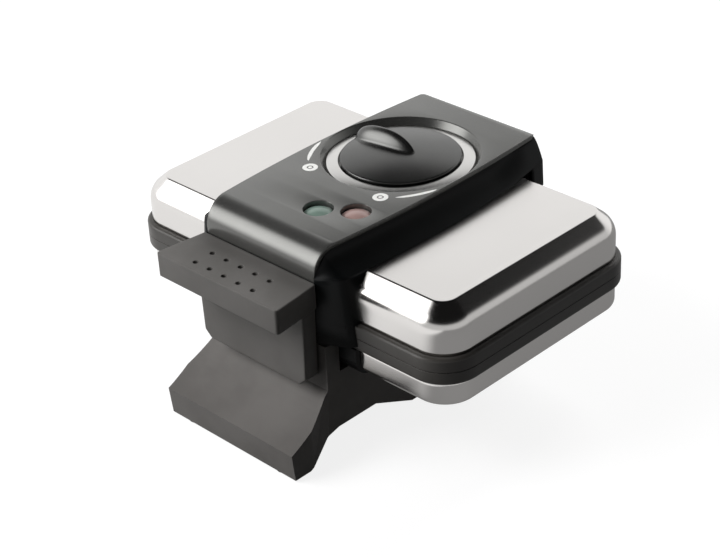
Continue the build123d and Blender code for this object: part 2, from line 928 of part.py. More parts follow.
def handle_screws():
    """Four screws from inside the front wall into the ledge and the apron."""
    screws = []
    for x, z in handle_screw_places:
        reach = handle_screw_reach if z == handle_screw_z else apron_screw_reach
        head_y = handle_seat_y + front_wall_thick
        tip_y = handle_seat_y - reach + screw_tip_room
        head = rod_along_y(screw_head_radius, head_y, head_y + screw_head_height, x, z)
        screws.append(head + rod_along_y(screw_radius, tip_y, head_y, x, z))
    return Compound(children=screws)


def pedestal():
    """Arched base: wide sloped front foot, upright column, saddle, and rear foot."""
    slope_middle = (
        (foot_front_y + column_front_y - column_toe) / 2,
        (foot_lip_z + column_foot_z) / 2 - slope_sag,
    )
    lip = (foot_front_y, foot_lip_z)
    column_foot = (column_front_y - column_toe, column_foot_z)
    edges = [
        Line((foot_front_y + foot_undercut, floor_gap), lip),
        ThreePointArc(lip, slope_middle, column_foot),
        Polyline(
            column_foot,
            (column_front_y, column_foot_z + column_toe_rise),
            (column_front_y, column_top_z),
            (column_rear_y, column_top_z),
            (column_rear_y, pedestal_top_z),
            (-column_rear_y, pedestal_top_z),
            (-column_rear_y, column_top_z),
            (pedestal_rear_y, column_top_z),
            (pedestal_rear_y, gland_z - gland_flange_radius - rear_draft_drop),
            (pedestal_rear_y - rear_foot_draft, floor_gap),
            (arch_rear_y, floor_gap),
            (arch_crown_rear_y + arch_rear_run, arch_top_z - arch_rear_drop),
            (arch_crown_rear_y, arch_top_z),
            (arch_crown_front_y, arch_top_z),
            (arch_crown_front_y - arch_front_run, arch_top_z - arch_front_drop),
            (arch_front_y, floor_gap + foot_heel_rise),
            (arch_front_y - foot_heel_run, floor_gap),
            (foot_front_y + foot_undercut, floor_gap),
        ),
    ]
    solid = across(Plane.YZ * make_face(edges), far)
    plan = Polyline(
        (foot_half_front, foot_front_y),
        (foot_half_front, arch_front_y),
        (column_half, column_front_y - column_toe),
        (column_half, pedestal_rear_y + plan_clear),
        (-column_half, pedestal_rear_y + plan_clear),
        (-column_half, column_front_y - column_toe),
        (-foot_half_front, arch_front_y),
        (-foot_half_front, foot_front_y),
        close=True,
    )
    outline = make_face(plan)
    outline = fillet(outline.vertices().group_by(Axis.Y)[-1], pedestal_edge)
    solid = solid & upright(outline)
    hollow_front = base_cover_front_y + base_cover_ledge
    hollow_rear = base_cover_rear_y - base_cover_ledge
    arch_roof = arch_top_z + pedestal_wall
    hollow = [
        (hollow_front, 0),
        (hollow_front, hollow_front_z),
        (arch_crown_rear_y + arch_front_run, arch_roof),
        (column_front_y + pedestal_wall, arch_roof),
        (column_front_y + pedestal_wall, pedestal_ceiling_z),
        (pedestal_rear_y - pedestal_wall, pedestal_ceiling_z),
        (pedestal_rear_y - pedestal_wall, hollow_rear_z),
        (hollow_rear, pad_height + base_cover_ledge),
        (hollow_rear, 0),
    ]
    solid -= across(side_view(hollow), column_half - pedestal_wall - hollow_side_margin)
    tip = floor_gap + base_cover_recess + base_cover_screw_length
    for x, y in base_cover_screw_places:
        solid += rod(post_radius, base_cover_top_z, pedestal_ceiling_z, x, y)
        solid -= screw_hole(base_cover_top_z, tip + screw_tip_room, x, y)
    for x, y in base_post_places:
        solid -= screw_hole(pedestal_ceiling_z, pedestal_top_z, x, y)
    solid -= block(
        -base_cover_half, base_cover_half, base_cover_front_y, base_cover_rear_y,
        0, base_cover_top_z,
    )
    for x, y in pad_places:
        solid -= rod(pad_radius + pad_fit, 0, pad_height, x, y)
    solid -= rod_along_y(gland_barrel_radius + gland_fit, base_cover_rear_y, far, 0, gland_z)
    hole_low = column_top_z + bracket_sheet - bracket_screw_length - screw_tip_room
    for side in (-1, 1):
        solid -= screw_hole(hole_low, column_top_z, side * base_bracket_screw_x, hinge_y)
    return solid


def base_cover():
    """Plate that closes the pedestal from below."""
    plate = block(
        cover_fit - base_cover_half,
        base_cover_half - cover_fit,
        base_cover_front_y + cover_fit,
        base_cover_rear_y - cover_fit,
        floor_gap,
        base_cover_top_z,
    )
    for x, y in base_cover_screw_places:
        plate -= screw_hole(0, base_cover_top_z, x, y)
        plate -= rod(screw_head_radius + cover_fit, 0, floor_gap + base_cover_recess, x, y)
    return plate


def lower_housing():
    """Black trough that joins the two steel pans and sits on the pedestal."""
    low = pedestal_top_z
    outer = [
        (-band_half_depth, band_bottom_z),
        (-band_half_depth, low),
        (band_half_depth, low),
        (band_half_depth, band_bottom_z),
    ]
    inner_half = half_depth + housing_clearance
    inset = band_half_depth - inner_half
    inner = [
        (-inner_half, far),
        (-inner_half, low + housing_wall - housing_clearance),
        (inner_half, low + housing_wall - housing_clearance),
        (inner_half, far),
    ]
    edge = lower_shell_edge + housing_clearance
    outer_edge = edge + inset
    solid = across(side_view(outer, [(1, outer_edge), (2, outer_edge)]), housing_half)
    solid -= across(side_view(inner, [(1, edge), (2, edge)]), far)
    for x, y in base_post_places:
        floor = low + housing_wall
        solid += rod(post_radius + boss_clearance, low, floor, x, y)
        solid -= screw_hole(low, floor, x, y)
    return solid


def base_bracket():
    """Hinge bracket on the base, with a knuckle at each end of the pin."""
    plate = block(
        -base_knuckle_outer,
        base_knuckle_outer,
        hinge_y - knuckle_radius,
        pedestal_rear_y,
        column_top_z,
        column_top_z + bracket_sheet,
    )
    for side in (-1, 1):
        x_low, x_high = sorted((side * base_knuckle_inner, side * base_knuckle_outer))
        plate += rod_along_x(knuckle_radius, x_low, x_high, hinge_y, hinge_z)
        plate += block(
            x_low, x_high, hinge_y - knuckle_radius, pedestal_rear_y,
            column_top_z, hinge_z - knuckle_radius / 2,
        )
        plate -= rod(
            screw_radius + screw_fit, column_top_z, far, side * base_bracket_screw_x, hinge_y
        )
    return plate - rod_along_x(pin_radius + base_pin_clearance, -far, far, hinge_y, hinge_z)


def lid_bracket():
    """Hinge bracket on the lid's rear wall, with two knuckles between the base's."""
    wall_y = lid_rear_wall_y
    outer = base_knuckle_inner - knuckle_side_gap
    top = cover_rear_z - lid_clearance
    plate = block(-outer, outer, wall_y, wall_y + bracket_sheet, hinge_z + lid_bracket_drop, top)
    for side in (-1, 1):
        x_low, x_high = sorted((side * lid_knuckle_inner, side * outer))
        plate += rod_along_x(knuckle_radius, x_low, x_high, hinge_y, hinge_z)
        plate += block(x_low, x_high, wall_y, hinge_y, hinge_z, hinge_z + knuckle_radius)
        plate -= rod_along_y(
            screw_radius + screw_fit, wall_y, wall_y + bracket_sheet,
            side * lid_bracket_screw_x, lid_bracket_screw_z,
        )
    return plate - rod_along_x(pin_radius + shaft_clearance, -far, far, hinge_y, hinge_z)


def hinge_pin():
    """Steel pin through all four knuckles, grooved for its two clips."""
    reach = base_knuckle_outer + pin_overhang
    pin = rod_along_x(pin_radius, -reach, reach, hinge_y, hinge_z)
    for side in (-1, 1):
        start = side * (base_knuckle_outer + clip_gap)
        x_low, x_high = sorted((start, start + side * (clip_thick + clip_slack)))
        groove = rod_along_x(pin_radius, x_low, x_high, hinge_y, hinge_z)
        groove -= rod_along_x(pin_radius - groove_depth, x_low, x_high, hinge_y, hinge_z)
        pin -= groove
    return pin


def pin_clips():
    """Spring clips that keep the pin in."""
    clips = []
    for side in (-1, 1):
        start = side * (base_knuckle_outer + clip_gap + clip_slack / 2)
        x_low, x_high = sorted((start, start + side * clip_thick))
        clip = rod_along_x(clip_radius, x_low, x_high, hinge_y, hinge_z)
        clip -= rod_along_x(pin_radius - groove_depth + clip_fit, x_low, x_high, hinge_y, hinge_z)
        mouth = (hinge_y - clip_mouth, hinge_y + clip_mouth)
        clip -= block(x_low, x_high, *mouth, hinge_z, hinge_z + clip_radius)
        clips.append(clip)
    return Compound(children=clips)


def hinge_screws(parent):
    """Screws that hold a hinge bracket down on the pedestal or back on the lid's wall."""
    screws = []
    for side in (-1, 1):
        if parent == "base":
            top = column_top_z + bracket_sheet
            screws.append(screw_down(side * base_bracket_screw_x, hinge_y, top, bracket_screw_length))
        else:
            x = side * lid_bracket_screw_x
            head_y = lid_rear_wall_y + bracket_sheet
            z = lid_bracket_screw_z
            head = rod_along_y(screw_head_radius, head_y, head_y + screw_head_height, x, z)
            shank = rod_along_y(screw_radius, half_depth + screw_tip_room, head_y, x, z)
            screws.append(head + shank)
    return Compound(children=screws)


def cord_gland():
    """Flanged rubber bush in the pedestal's rear wall, where a lead would come out."""
    bush = rod_along_y(
        gland_flange_radius, pedestal_rear_y, pedestal_rear_y + gland_flange_thick, 0, gland_z
    )
    bush += rod_along_y(
        gland_barrel_radius,
        pedestal_rear_y - pedestal_wall - gland_inner_reach,
        pedestal_rear_y,
        0,
        gland_z,
    )
    return bush - rod_along_y(gland_bore_radius, -far, far, 0, gland_z)


def terminal_block():
    """Mains terminal block under the pedestal's ceiling, with three wire ways."""
    top = pedestal_ceiling_z
    ends = (terminal_front_y, terminal_rear_y)
    body = block(-terminal_half_width, terminal_half_width, *ends, top - terminal_height, top)
    for x in (-terminal_way_x, 0, terminal_way_x):
        body -= rod_along_y(terminal_way_radius, *ends, x, top - terminal_way_drop)
    return body


def rubber_pads():
    """Four rubber feet in pockets under the pedestal."""
    return Compound(children=[rod(pad_radius, 0, pad_height, x, y) for x, y in pad_places])


# Four places each for the pads, the base's cover screws and the screws up into the rim
pad_places = four(pad_x, pad_front_y, pad_rear_y)
base_cover_screw_places = four(
    base_cover_screw_x, base_cover_screw_front_y, base_cover_screw_rear_y
)
base_post_places = four(post_x, base_post_front_y, base_post_rear_y)


def screws_at(places, head_z, length, upwards):
    """A group of equal screws."""
    make = screw_up if upwards else screw_down
    return Compound(children=[make(x, y, head_z, length) for x, y in places])


def all_parts():
    """Every named piece, about the middle of the steel body."""
    parts = {
        "base_pedestal": pedestal(),
        "base_cover": base_cover(),
        "base_cover_screws": screws_at(
            base_cover_screw_places, floor_gap + base_cover_recess, base_cover_screw_length, True
        ),
        "rubber_feet": rubber_pads(),
        "cord_gland": cord_gland(),
        "terminal_block": terminal_block(),
        "lower_housing": lower_housing(),
        "lower_rim": lower_rim(),
        "base_screws": screws_at(base_post_places, pedestal_ceiling_z, base_screw_length, True),
        "base_hinge_bracket": base_bracket(),
        "base_hinge_screws": hinge_screws("base"),
        "hinge_pin": hinge_pin(),
        "pin_clips": pin_clips(),
        "lid_hinge_bracket": lid_bracket(),
        "lid_hinge_screws": hinge_screws("lid"),
        "upper_rim": upper_rim(),
        "console_skirt": console_skirt(),
        "console_cover": console_cover(),
        "console_screws": screws_at(
            four(cover_boss_x, cover_boss_front_y, cover_boss_rear_y),
            upper_face_z + screw_recess,
            console_screw_length,
            True,
        ),
        "chassis_plate": chassis(),
        "chassis_screws": screws_at(
            four(post_x, -post_y, post_y), chassis_top_z, chassis_screw_length, False
        ),
        "thermostat": thermostat(),
        "thermostat_shaft": thermostat_shaft(),
        "dial_ring": dial_ring(),
        "knob": knob(),
        "lamp_holders": Compound(children=[lamp_holder(x, y) for x, y in lens_places.values()]),
        "neon_lamps": Compound(children=[lamp(x, y) for x, y in lens_places.values()]),
        "handle_ledge": handle_ledge(),
        "handle_apron": handle_apron(),
        "handle_screws": handle_screws(),
    }
    for name, place in lens_places.items():
        parts[name] = lens(*place)
    for name, shell in {"lower_shell": lower_shell(), "upper_shell": upper_shell()}.items():
        parts[name + "_right"] = shell
        parts[name + "_left"] = mirrored(shell)
    stacks = {
        "lower": (lower_stack(lower_well_depth, lower_peg_height), in_base),
        "upper": (lower_stack(upper_well_depth, upper_peg_height), in_lid),
    }
    for level, (stack, place) in stacks.items():
        for name, solid in stack.items():
            right = place(solid)
            parts[f"{level}_{name}_right"] = right
            parts[f"{level}_{name}_left"] = mirrored(right)
    return parts


def write(name, piece):
    """One file, with the piece moved from the body's middle to the part's origin."""
    solids = [Pos(0, -origin_y, 0) * solid for solid in piece.solids()]
    export_step(solids[0] if len(solids) == 1 else Compound(children=solids), f"parts/{name}.step")


for name, piece in all_parts().items():
    write(name, piece)
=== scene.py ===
"""Double belgian waffle maker: finishes and detailed surfaces around its packed construction.

Everything is in metres in the part's own frame: +Z up, the handle towards -Y, the wells along X.
"""

import json
import math

import bmesh
import bpy
import numpy as np
from mathutils import Matrix, Vector
from mathutils.geometry import tessellate_polygon


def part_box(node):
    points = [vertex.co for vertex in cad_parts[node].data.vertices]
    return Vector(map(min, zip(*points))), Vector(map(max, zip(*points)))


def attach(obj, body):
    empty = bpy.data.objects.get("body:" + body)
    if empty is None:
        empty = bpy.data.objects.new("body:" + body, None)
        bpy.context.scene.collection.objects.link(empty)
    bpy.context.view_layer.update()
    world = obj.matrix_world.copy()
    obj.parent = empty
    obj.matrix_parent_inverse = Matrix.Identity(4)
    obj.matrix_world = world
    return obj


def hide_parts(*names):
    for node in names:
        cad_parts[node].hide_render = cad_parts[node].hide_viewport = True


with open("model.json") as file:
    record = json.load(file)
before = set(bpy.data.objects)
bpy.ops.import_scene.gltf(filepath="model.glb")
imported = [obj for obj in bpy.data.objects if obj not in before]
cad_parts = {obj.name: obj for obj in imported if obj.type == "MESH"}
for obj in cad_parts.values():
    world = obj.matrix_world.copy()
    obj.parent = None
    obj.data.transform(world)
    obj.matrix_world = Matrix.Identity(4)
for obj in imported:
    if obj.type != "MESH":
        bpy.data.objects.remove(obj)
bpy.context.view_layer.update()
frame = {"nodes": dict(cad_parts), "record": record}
nodes = frame["nodes"]

MM = 0.001


def metres(*values):
    """Millimetres as metres."""
    return tuple(value * MM for value in values)


# Camera

CAMERA_PLACE = (0.85495, -0.81830, 0.78473)
CAMERA_AZIMUTH = math.radians(46.27)
CAMERA_DROP = math.radians(30.935)
CAMERA_ROLL = math.radians(-3.29)
CAMERA_LENS = 96.85
SENSOR = 36.0


def camera_turn():
    """Looks along the azimuth, down by the drop, then rolls about the line of sight."""
    look = Vector((
        -math.sin(CAMERA_AZIMUTH) * math.cos(CAMERA_DROP),
        math.cos(CAMERA_AZIMUTH) * math.cos(CAMERA_DROP),
        -math.sin(CAMERA_DROP),
    ))
    right = Vector((math.cos(CAMERA_AZIMUTH), math.sin(CAMERA_AZIMUTH), 0.0))
    up = right.cross(look)
    across = math.cos(CAMERA_ROLL) * right + math.sin(CAMERA_ROLL) * up
    above = -math.sin(CAMERA_ROLL) * right + math.cos(CAMERA_ROLL) * up
    return Matrix((across, above, -look)).transposed()


def make_camera():
    """The photograph's viewpoint."""
    data = bpy.data.cameras.new("camera")
    data.lens = CAMERA_LENS
    data.sensor_width = SENSOR
    data.sensor_fit = "HORIZONTAL"
    data.clip_start = 0.05
    data.clip_end = 20.0
    camera = bpy.data.objects.new("camera", data)
    camera.matrix_world = Matrix.Translation(CAMERA_PLACE) @ camera_turn().to_4x4()
    bpy.context.scene.collection.objects.link(camera)
    bpy.context.scene.camera = camera


make_camera()


# Shader maths


class Value:
    """A shader socket whose arithmetic adds Math nodes."""

    def __init__(self, shader, socket):
        self.shader = shader
        self.socket = socket

    def math(self, operation, *others):
        sockets = {index + 1: other for index, other in enumerate(others)}
        return self.shader.node("ShaderNodeMath", {"operation": operation}, {0: self, **sockets})

    def __add__(self, other):
        return self.math("ADD", other)

    __radd__ = __add__

    def __mul__(self, other):
        return self.math("MULTIPLY", other)

    __rmul__ = __mul__

    def __sub__(self, other):
        return self.math("SUBTRACT", other)

    def __rsub__(self, other):
        return self.shader.node("ShaderNodeMath", {"operation": "SUBTRACT"}, {0: other, 1: self})

    def __truediv__(self, other):
        return self.math("DIVIDE", other)

    def __pow__(self, other):
        return self.math("POWER", other)

    def above(self, other):
        return self.math("GREATER_THAN", other)

    def abs(self):
        return self.math("ABSOLUTE")

    def clamp(self):
        return self.shader.node("ShaderNodeClamp", {}, {"Value": self})

    def smooth(self, low, high):
        """0 below low, 1 above high, with a soft step between."""
        return self.shader.node(
            "ShaderNodeMapRange",
            {"interpolation_type": "SMOOTHSTEP"},
            {"Value": self, "From Min": low, "From Max": high},
        )


class Shader:
    """The node tree of one material or of the world."""

    def __init__(self, tree):
        self.tree = tree
        tree.nodes.clear()

    def put(self, socket, value):
        if isinstance(value, Value):
            self.tree.links.new(value.socket, socket)
        elif isinstance(value, (tuple, list)) and len(value) == 3 and socket.type == "RGBA":
            socket.default_value = (*value, 1.0)
        else:
            socket.default_value = value

    def add(self, kind, settings, sockets):
        """A node with its settings made first and its sockets filled after them."""
        made = self.tree.nodes.new(kind)
        for name, value in settings.items():
            setattr(made, name, value)
        for name, value in sockets.items():
            self.put(made.inputs[name], value)
        return made

    def node(self, kind, settings, sockets, output=0):
        """The same, as the value that comes out."""
        return Value(self, self.add(kind, settings, sockets).outputs[output])

    def place(self):
        """Object coordinates."""
        return self.node("ShaderNodeTexCoord", {}, {}, "Object")

    def axes(self, vector):
        """A vector's three parts."""
        split = self.add("ShaderNodeSeparateXYZ", {}, {"Vector": vector})
        return [Value(self, split.outputs[index]) for index in range(3)]

    def mapped(self, scale):
        """Object coordinates stretched along the axes."""
        return self.node("ShaderNodeMapping", {}, {"Vector": self.place(), "Scale": scale})

    def noise(self, vector, scale, detail=4.0, roughness=0.55):
        sockets = {"Vector": vector, "Scale": scale, "Detail": detail, "Roughness": roughness}
        return self.node("ShaderNodeTexNoise", {"noise_dimensions": "3D"}, sockets, "Fac")

    def mix(self, share, low, high):
        """One colour turning into another."""
        made = self.tree.nodes.new("ShaderNodeMix")
        made.data_type = "RGBA"
        self.put(made.inputs[0], share)
        self.put(made.inputs[6], low)
        self.put(made.inputs[7], high)
        return Value(self, made.outputs[2])

    def bump(self, height, strength, distance):
        sockets = {"Height": height, "Strength": strength, "Distance": distance}
        return self.node("ShaderNodeBump", {}, sockets)


def material(name, colour, roughness, metallic=0.0, normal=None, shader=None, **fixed):
    """A Principled material whose changing inputs come as values and the rest as numbers."""
    sockets = {"Base Color": colour, "Roughness": roughness, "Metallic": metallic}
    if normal is not None:
        sockets["Normal"] = normal
    sockets.update(fixed)
    surface = shader.add("ShaderNodeBsdfPrincipled", {}, sockets)
    output = shader.add("ShaderNodeOutputMaterial", {}, {})
    shader.tree.links.new(surface.outputs[0], output.inputs[0])
    return bpy.data.materials[name]


def new_shader(name):
    """An empty material's node tree."""
    made = bpy.data.materials.new(name)
    made.use_nodes = True
    return Shader(made.node_tree)


def satin_steel():
    """Pressed steel: fine brushing along X, faint cloudiness and a soft polish."""
    s = new_shader("satin_steel")
    lines = s.noise(s.mapped((6.0, 1400.0, 1400.0)), 1.0, 4.0, 0.6)
    clouds = s.noise(s.place(), 9.0, 3.0)
    colour = s.mix(clouds, (0.755, 0.735, 0.715), (0.83, 0.81, 0.79))
    rough = 0.165 + 0.025 * lines + 0.02 * clouds
    normal = s.bump(lines, 0.012, 0.0001)
    return material("satin_steel", colour, rough, 1.0, normal, s)


def moulded_plastic(name, dark, pale, rough, grain, **fixed):
    """Moulded plastic with a fine spark-eroded grain and faint handling sheen."""
    s = new_shader(name)
    fine = s.noise(s.place(), 2600.0, 2.0)
    worn = s.noise(s.place(), 24.0, 4.0)
    colour = s.mix(worn.smooth(0.35, 0.7), dark, pale)
    roughness = rough + 0.06 * worn + 0.05 * fine
    normal = s.bump(fine, grain, 0.00025)
    return material(name, colour, roughness, 0.0, normal, s, **fixed)


def metallic_paint(name, dark, pale, rough, metal, ink=None):
    """Grey paint with fine metal flakes, and white printing where its ink mask is 1."""
    s = new_shader(name)
    flakes = s.noise(s.place(), 3200.0, 2.0)
    clouds = s.noise(s.place(), 20.0, 3.0)
    colour = s.mix(clouds.smooth(0.35, 0.7), dark, pale)
    roughness = rough + 0.05 * clouds + 0.03 * flakes
    if ink is not None:
        mask = ink(s)
        colour = s.mix(mask, colour, INK_WHITE)
        roughness = roughness + mask * INK_ROUGHER
        metal = metal * (1.0 - mask)
    return material(name, colour, roughness, metal, s.bump(flakes, 0.03, 0.0002), s)


def dial_marks(s):
    """Mask of the two marks in front of the dial: a disc with a ring in it, and a tapered arc.

    Both lie on a curve about the dial's middle; the arc's radius shrinks evenly with its angle,
    and its width follows 1 - (2 u - 1)^4 from end to end. The left mark mirrors the right one.
    """
    x, y, z = s.axes(s.place())
    x = x.abs()
    y = y - DIAL_PLACE
    angle = s.node("ShaderNodeMath", {"operation": "ARCTAN2"}, {0: y, 1: x})
    share = (angle - ARC_START) / (ARC_END - ARC_START)
    middle = 2.0 * share - 1.0
    width = ARC_HALF_WIDTH * (1.0 - middle * middle * middle * middle)
    line = MARK_RADIUS - ARC_DRAWN_IN * share
    off_line = ((x * x + y * y) ** 0.5 - line).abs()
    arc = (width - off_line).smooth(0.0, INK_EDGE)
    disc_x = x - MARK_RADIUS * math.cos(DISC_ANGLE)
    disc_y = y - MARK_RADIUS * math.sin(DISC_ANGLE)
    away = (disc_x * disc_x + disc_y * disc_y) ** 0.5
    disc = (DISC_RADIUS - away).smooth(0.0, INK_EDGE)
    symbol = (SYMBOL_HALF_WIDTH - (away - SYMBOL_RADIUS).abs()).smooth(0.0, INK_EDGE)
    return (arc + disc * (1.0 - symbol)).clamp() * z.above(PRINT_LEVEL)


def bright_trim():
    """Satin plated trim, lathe-finished round the dial."""
    s = new_shader("bright_trim")
    fine = s.noise(s.place(), 420.0, 3.0)
    colour = s.mix(fine, (0.70, 0.69, 0.67), (0.82, 0.81, 0.79))
    return material("bright_trim", colour, 0.2 + 0.1 * fine, 1.0, s.bump(fine, 0.02, 0.0002), s)


def lens_plastic(name, deep, light):
    """Translucent coloured plastic, clouded between a deep and a light tint."""
    s = new_shader(name)
    clouds = s.noise(s.place(), 180.0, 2.0)
    colour = s.mix(clouds, deep, light)
    rough = 0.18 + 0.08 * clouds
    return material(name, colour, rough, 0.0, s.bump(clouds, 0.05, 0.0003), s)


def plain_metal(name, dark, pale, rough, bump=0.03):
    """Plated or rolled metal with small stains."""
    s = new_shader(name)
    spots = s.noise(s.place(), 160.0, 5.0)
    colour = s.mix(spots, dark, pale)
    return material(name, colour, rough + 0.12 * spots, 1.0, s.bump(spots, bump, 0.0003), s)


def non_stick():
    """Dark non-stick coat with its pebbled spray texture."""
    s = new_shader("non_stick")
    pebbles = s.noise(s.place(), 900.0, 3.0, 0.6)
    clouds = s.noise(s.place(), 30.0, 3.0)
    colour = s.mix(clouds, (0.018, 0.018, 0.019), (0.034, 0.033, 0.033))
    rough = 0.34 + 0.14 * pebbles
    return material("non_stick", colour, rough, 0.0, s.bump(pebbles, 0.12, 0.0003), s)


def soft_rubber():
    """Soft black rubber with a dusty bloom."""
    s = new_shader("soft_rubber")
    bloom = s.noise(s.place(), 140.0, 5.0)
    colour = s.mix(bloom, (0.018, 0.018, 0.018), (0.045, 0.044, 0.043))
    return material("soft_rubber", colour, 0.62 + 0.2 * bloom, 0.0, s.bump(bloom, 0.1, 0.0004), s)


def lamp_glass():
    """Small neon bulb, unlit, with a warm tint."""
    s = new_shader("neon_glass")
    clouds = s.noise(s.place(), 300.0, 2.0)
    colour = s.mix(clouds, (0.75, 0.42, 0.28), (0.9, 0.62, 0.45))
    return material("neon_glass", colour, 0.08 + 0.05 * clouds, 0.0, None, s)


INK_WHITE = (0.78, 0.78, 0.76)
INK_ROUGHER = 0.3
INK_EDGE = 0.25 * MM
PRINT_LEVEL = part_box("console_cover")[1].z - 0.4 * MM
DIAL_PLACE = (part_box("dial_ring")[0].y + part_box("dial_ring")[1].y) / 2
MARK_RADIUS = 65.4 * MM
DISC_ANGLE = math.radians(-58.5)
DISC_RADIUS = 5.6 * MM
SYMBOL_RADIUS = 1.9 * MM
SYMBOL_HALF_WIDTH = 0.6 * MM
ARC_START = math.radians(-50)
ARC_END = math.radians(-22)
ARC_DRAWN_IN = 4.4 * MM
ARC_HALF_WIDTH = 1.5 * MM
LOW_SHINE = {"Specular IOR Level": 0.3}
BLACK_SHINE = {"Specular IOR Level": 0.16}

FINISHES = {
    "steel": satin_steel(),
    "console_plastic": metallic_paint(
        "console_grey", (0.152, 0.152, 0.146), (0.172, 0.172, 0.165), 0.2, 0.78, dial_marks
    ),
    "skirt_plastic": moulded_plastic(
        "skirt_black", (0.0022, 0.0026, 0.0028), (0.0036, 0.0041, 0.0043), 0.42, 0.04, **BLACK_SHINE
    ),
    "rim_plastic": moulded_plastic(
        "rim_dark", (0.042, 0.039, 0.035), (0.056, 0.052, 0.048), 0.34, 0.05
    ),
    # the handle and the base are one grey plastic in two copies: the handle's darker copy is painted
    # shade, the base's lighter copy painted light
    "handle_plastic": moulded_plastic(
        "handle_grey_shaded", (0.100, 0.096, 0.091), (0.122, 0.117, 0.112), 0.5, 0.10, **LOW_SHINE
    ),
    "base_plastic": moulded_plastic(
        "base_grey_lit", (0.112, 0.106, 0.101), (0.138, 0.131, 0.125), 0.5, 0.10, **LOW_SHINE
    ),
    "knob_plastic": metallic_paint(
        "knob_grey", (0.108, 0.108, 0.106), (0.128, 0.128, 0.124), 0.2, 0.93
    ),
    "dial_silver": bright_trim(),
    "green_clear": lens_plastic("green_tint", (0.135, 0.195, 0.165), (0.165, 0.225, 0.195)),
    "red_clear": lens_plastic("red_tint", (0.28, 0.185, 0.17), (0.34, 0.23, 0.21)),
    "cast_plate": non_stick(),
    "heater_sheath": plain_metal("heater_tube", (0.16, 0.13, 0.11), (0.34, 0.30, 0.27), 0.4),
    "sheet_metal": plain_metal("bright_sheet", (0.62, 0.62, 0.62), (0.78, 0.78, 0.78), 0.22),
    "fastener": plain_metal("zinc_plate", (0.46, 0.46, 0.45), (0.68, 0.68, 0.66), 0.3),
    "rubber": soft_rubber(),
    "terminal_white": moulded_plastic(
        "cream_plastic", (0.66, 0.64, 0.58), (0.74, 0.72, 0.66), 0.5, 0.05
    ),
    "lamp_glass": lamp_glass(),
}
NODE_SLOT = {row["node"]: row["material_slot"] for row in frame["record"]["subparts"]}

for name, node in nodes.items():
    node.data.materials.clear()
    node.data.materials.append(FINISHES[NODE_SLOT[name]])

# Mesh making


def faces_of(rows, columns, wrap=False):
    """The quads between neighbouring rows and columns, and back to the first column if wrapped."""
    index = np.arange(rows * columns).reshape(rows, columns)
    if wrap:
        index = np.concatenate([index, index[:, :1]], axis=1)
    quads = np.stack([index[:-1, :-1], index[:-1, 1:], index[1:, 1:], index[1:, :-1]], axis=-1)
    return quads.reshape(-1, 4)


def rounded(points, radii, steps=7):
    """A line with its inner corners turned into arcs.

    An arc starts radius / tan(half the corner's angle) before its corner, and its points are the
    start and the end weighed by the sines of what is left and what is done of the turn.
    """
    points = np.asarray(points, float)
    line = [points[:1]]
    for before, corner, after, radius in zip(points[:-2], points[1:-1], points[2:], radii):
        a = (before - corner) / np.linalg.norm(before - corner)
        b = (after - corner) / np.linalg.norm(after - corner)
        half = math.acos(max(-1.0, min(1.0, float(a @ b)))) / 2
        turn = math.pi - 2 * half
        middle = corner + (a + b) / np.linalg.norm(a + b) * radius / math.sin(half)
        start = corner + a * radius / math.tan(half) - middle
        end = corner + b * radius / math.tan(half) - middle
        share = np.linspace(0, 1, steps + 1)[:, None]
        arc = (np.sin((1 - share) * turn) * start + np.sin(share * turn) * end) / math.sin(turn)
        line.append(middle + arc)
    line.append(points[-1:])
    return np.concatenate(line)


def spread(line, gap):
    """The same line with its long runs divided, so that no step is longer than gap."""
    out = [line[:1]]
    for start, end in zip(line[:-1], line[1:]):
        count = max(1, math.ceil(np.linalg.norm(end - start) / gap))
        out.append(start + (end - start) * (np.arange(1, count + 1) / count)[:, None])
    return np.concatenate(out)


def lathe(profile, centre, count=128):
    """A (radius, height) profile turned about an upright axis through centre."""
    angles = 2 * math.pi * np.arange(count) / count
    ring = np.stack([np.cos(angles), np.sin(angles)], axis=1)
    profile = np.asarray(profile, float)
    plan = np.asarray(centre) + profile[:, 0][:, None, None] * ring[None]
    heights = np.broadcast_to(profile[:, 1][:, None, None], (*plan.shape[:2], 1))
    return np.concatenate([plan, heights], axis=2), True


def make_piece(name, patches, slot, body, replaces=(), fills=(), sharp=32.0, tidy=True):
    """One object from patches, each a grid of points in metres and whether its columns close.

    A fill is a flat outline and its holes, as arrays of points, which is divided into triangles.
    """
    points = []
    faces = []
    count = 0
    for grid, wrap in patches:
        rows, columns = grid.shape[:2]
        points.append(grid.reshape(-1, 3))
        faces += (faces_of(rows, columns, wrap) + count).tolist()
        count += rows * columns
    for loops in fills:
        triangles = tessellate_polygon([[Vector(point) for point in loop] for loop in loops])
        flat = np.concatenate(loops)
        points.append(flat)
        faces += (np.array(triangles) + count).tolist()
        count += len(flat)
    mesh = bpy.data.meshes.new(name)
    mesh.from_pydata(np.concatenate(points).tolist(), [], faces)
    work = bmesh.new()
    work.from_mesh(mesh)
    bmesh.ops.remove_doubles(work, verts=work.verts, dist=2e-6)
    bmesh.ops.dissolve_degenerate(work, edges=work.edges, dist=1e-7)
    if tidy:
        bmesh.ops.recalc_face_normals(work, faces=work.faces)
    work.to_mesh(mesh)
    work.free()
    return finish_piece(name, mesh, slot, body, replaces, sharp)


def finish_piece(name, mesh, slot, body, replaces, sharp):
    """Smooth shading with sharp creases, the slot's finish, and the body that carries the piece."""
    mesh.polygons.foreach_set("use_smooth", np.ones(len(mesh.polygons), bool))
    mesh.set_sharp_from_angle(angle=math.radians(sharp))
    mesh.materials.clear()
    mesh.materials.append(FINISHES[slot])
    piece = bpy.data.objects.new(name, mesh)
    bpy.context.scene.collection.objects.link(piece)
    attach(piece, body)
    if replaces:
        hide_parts(*replaces)
    return piece


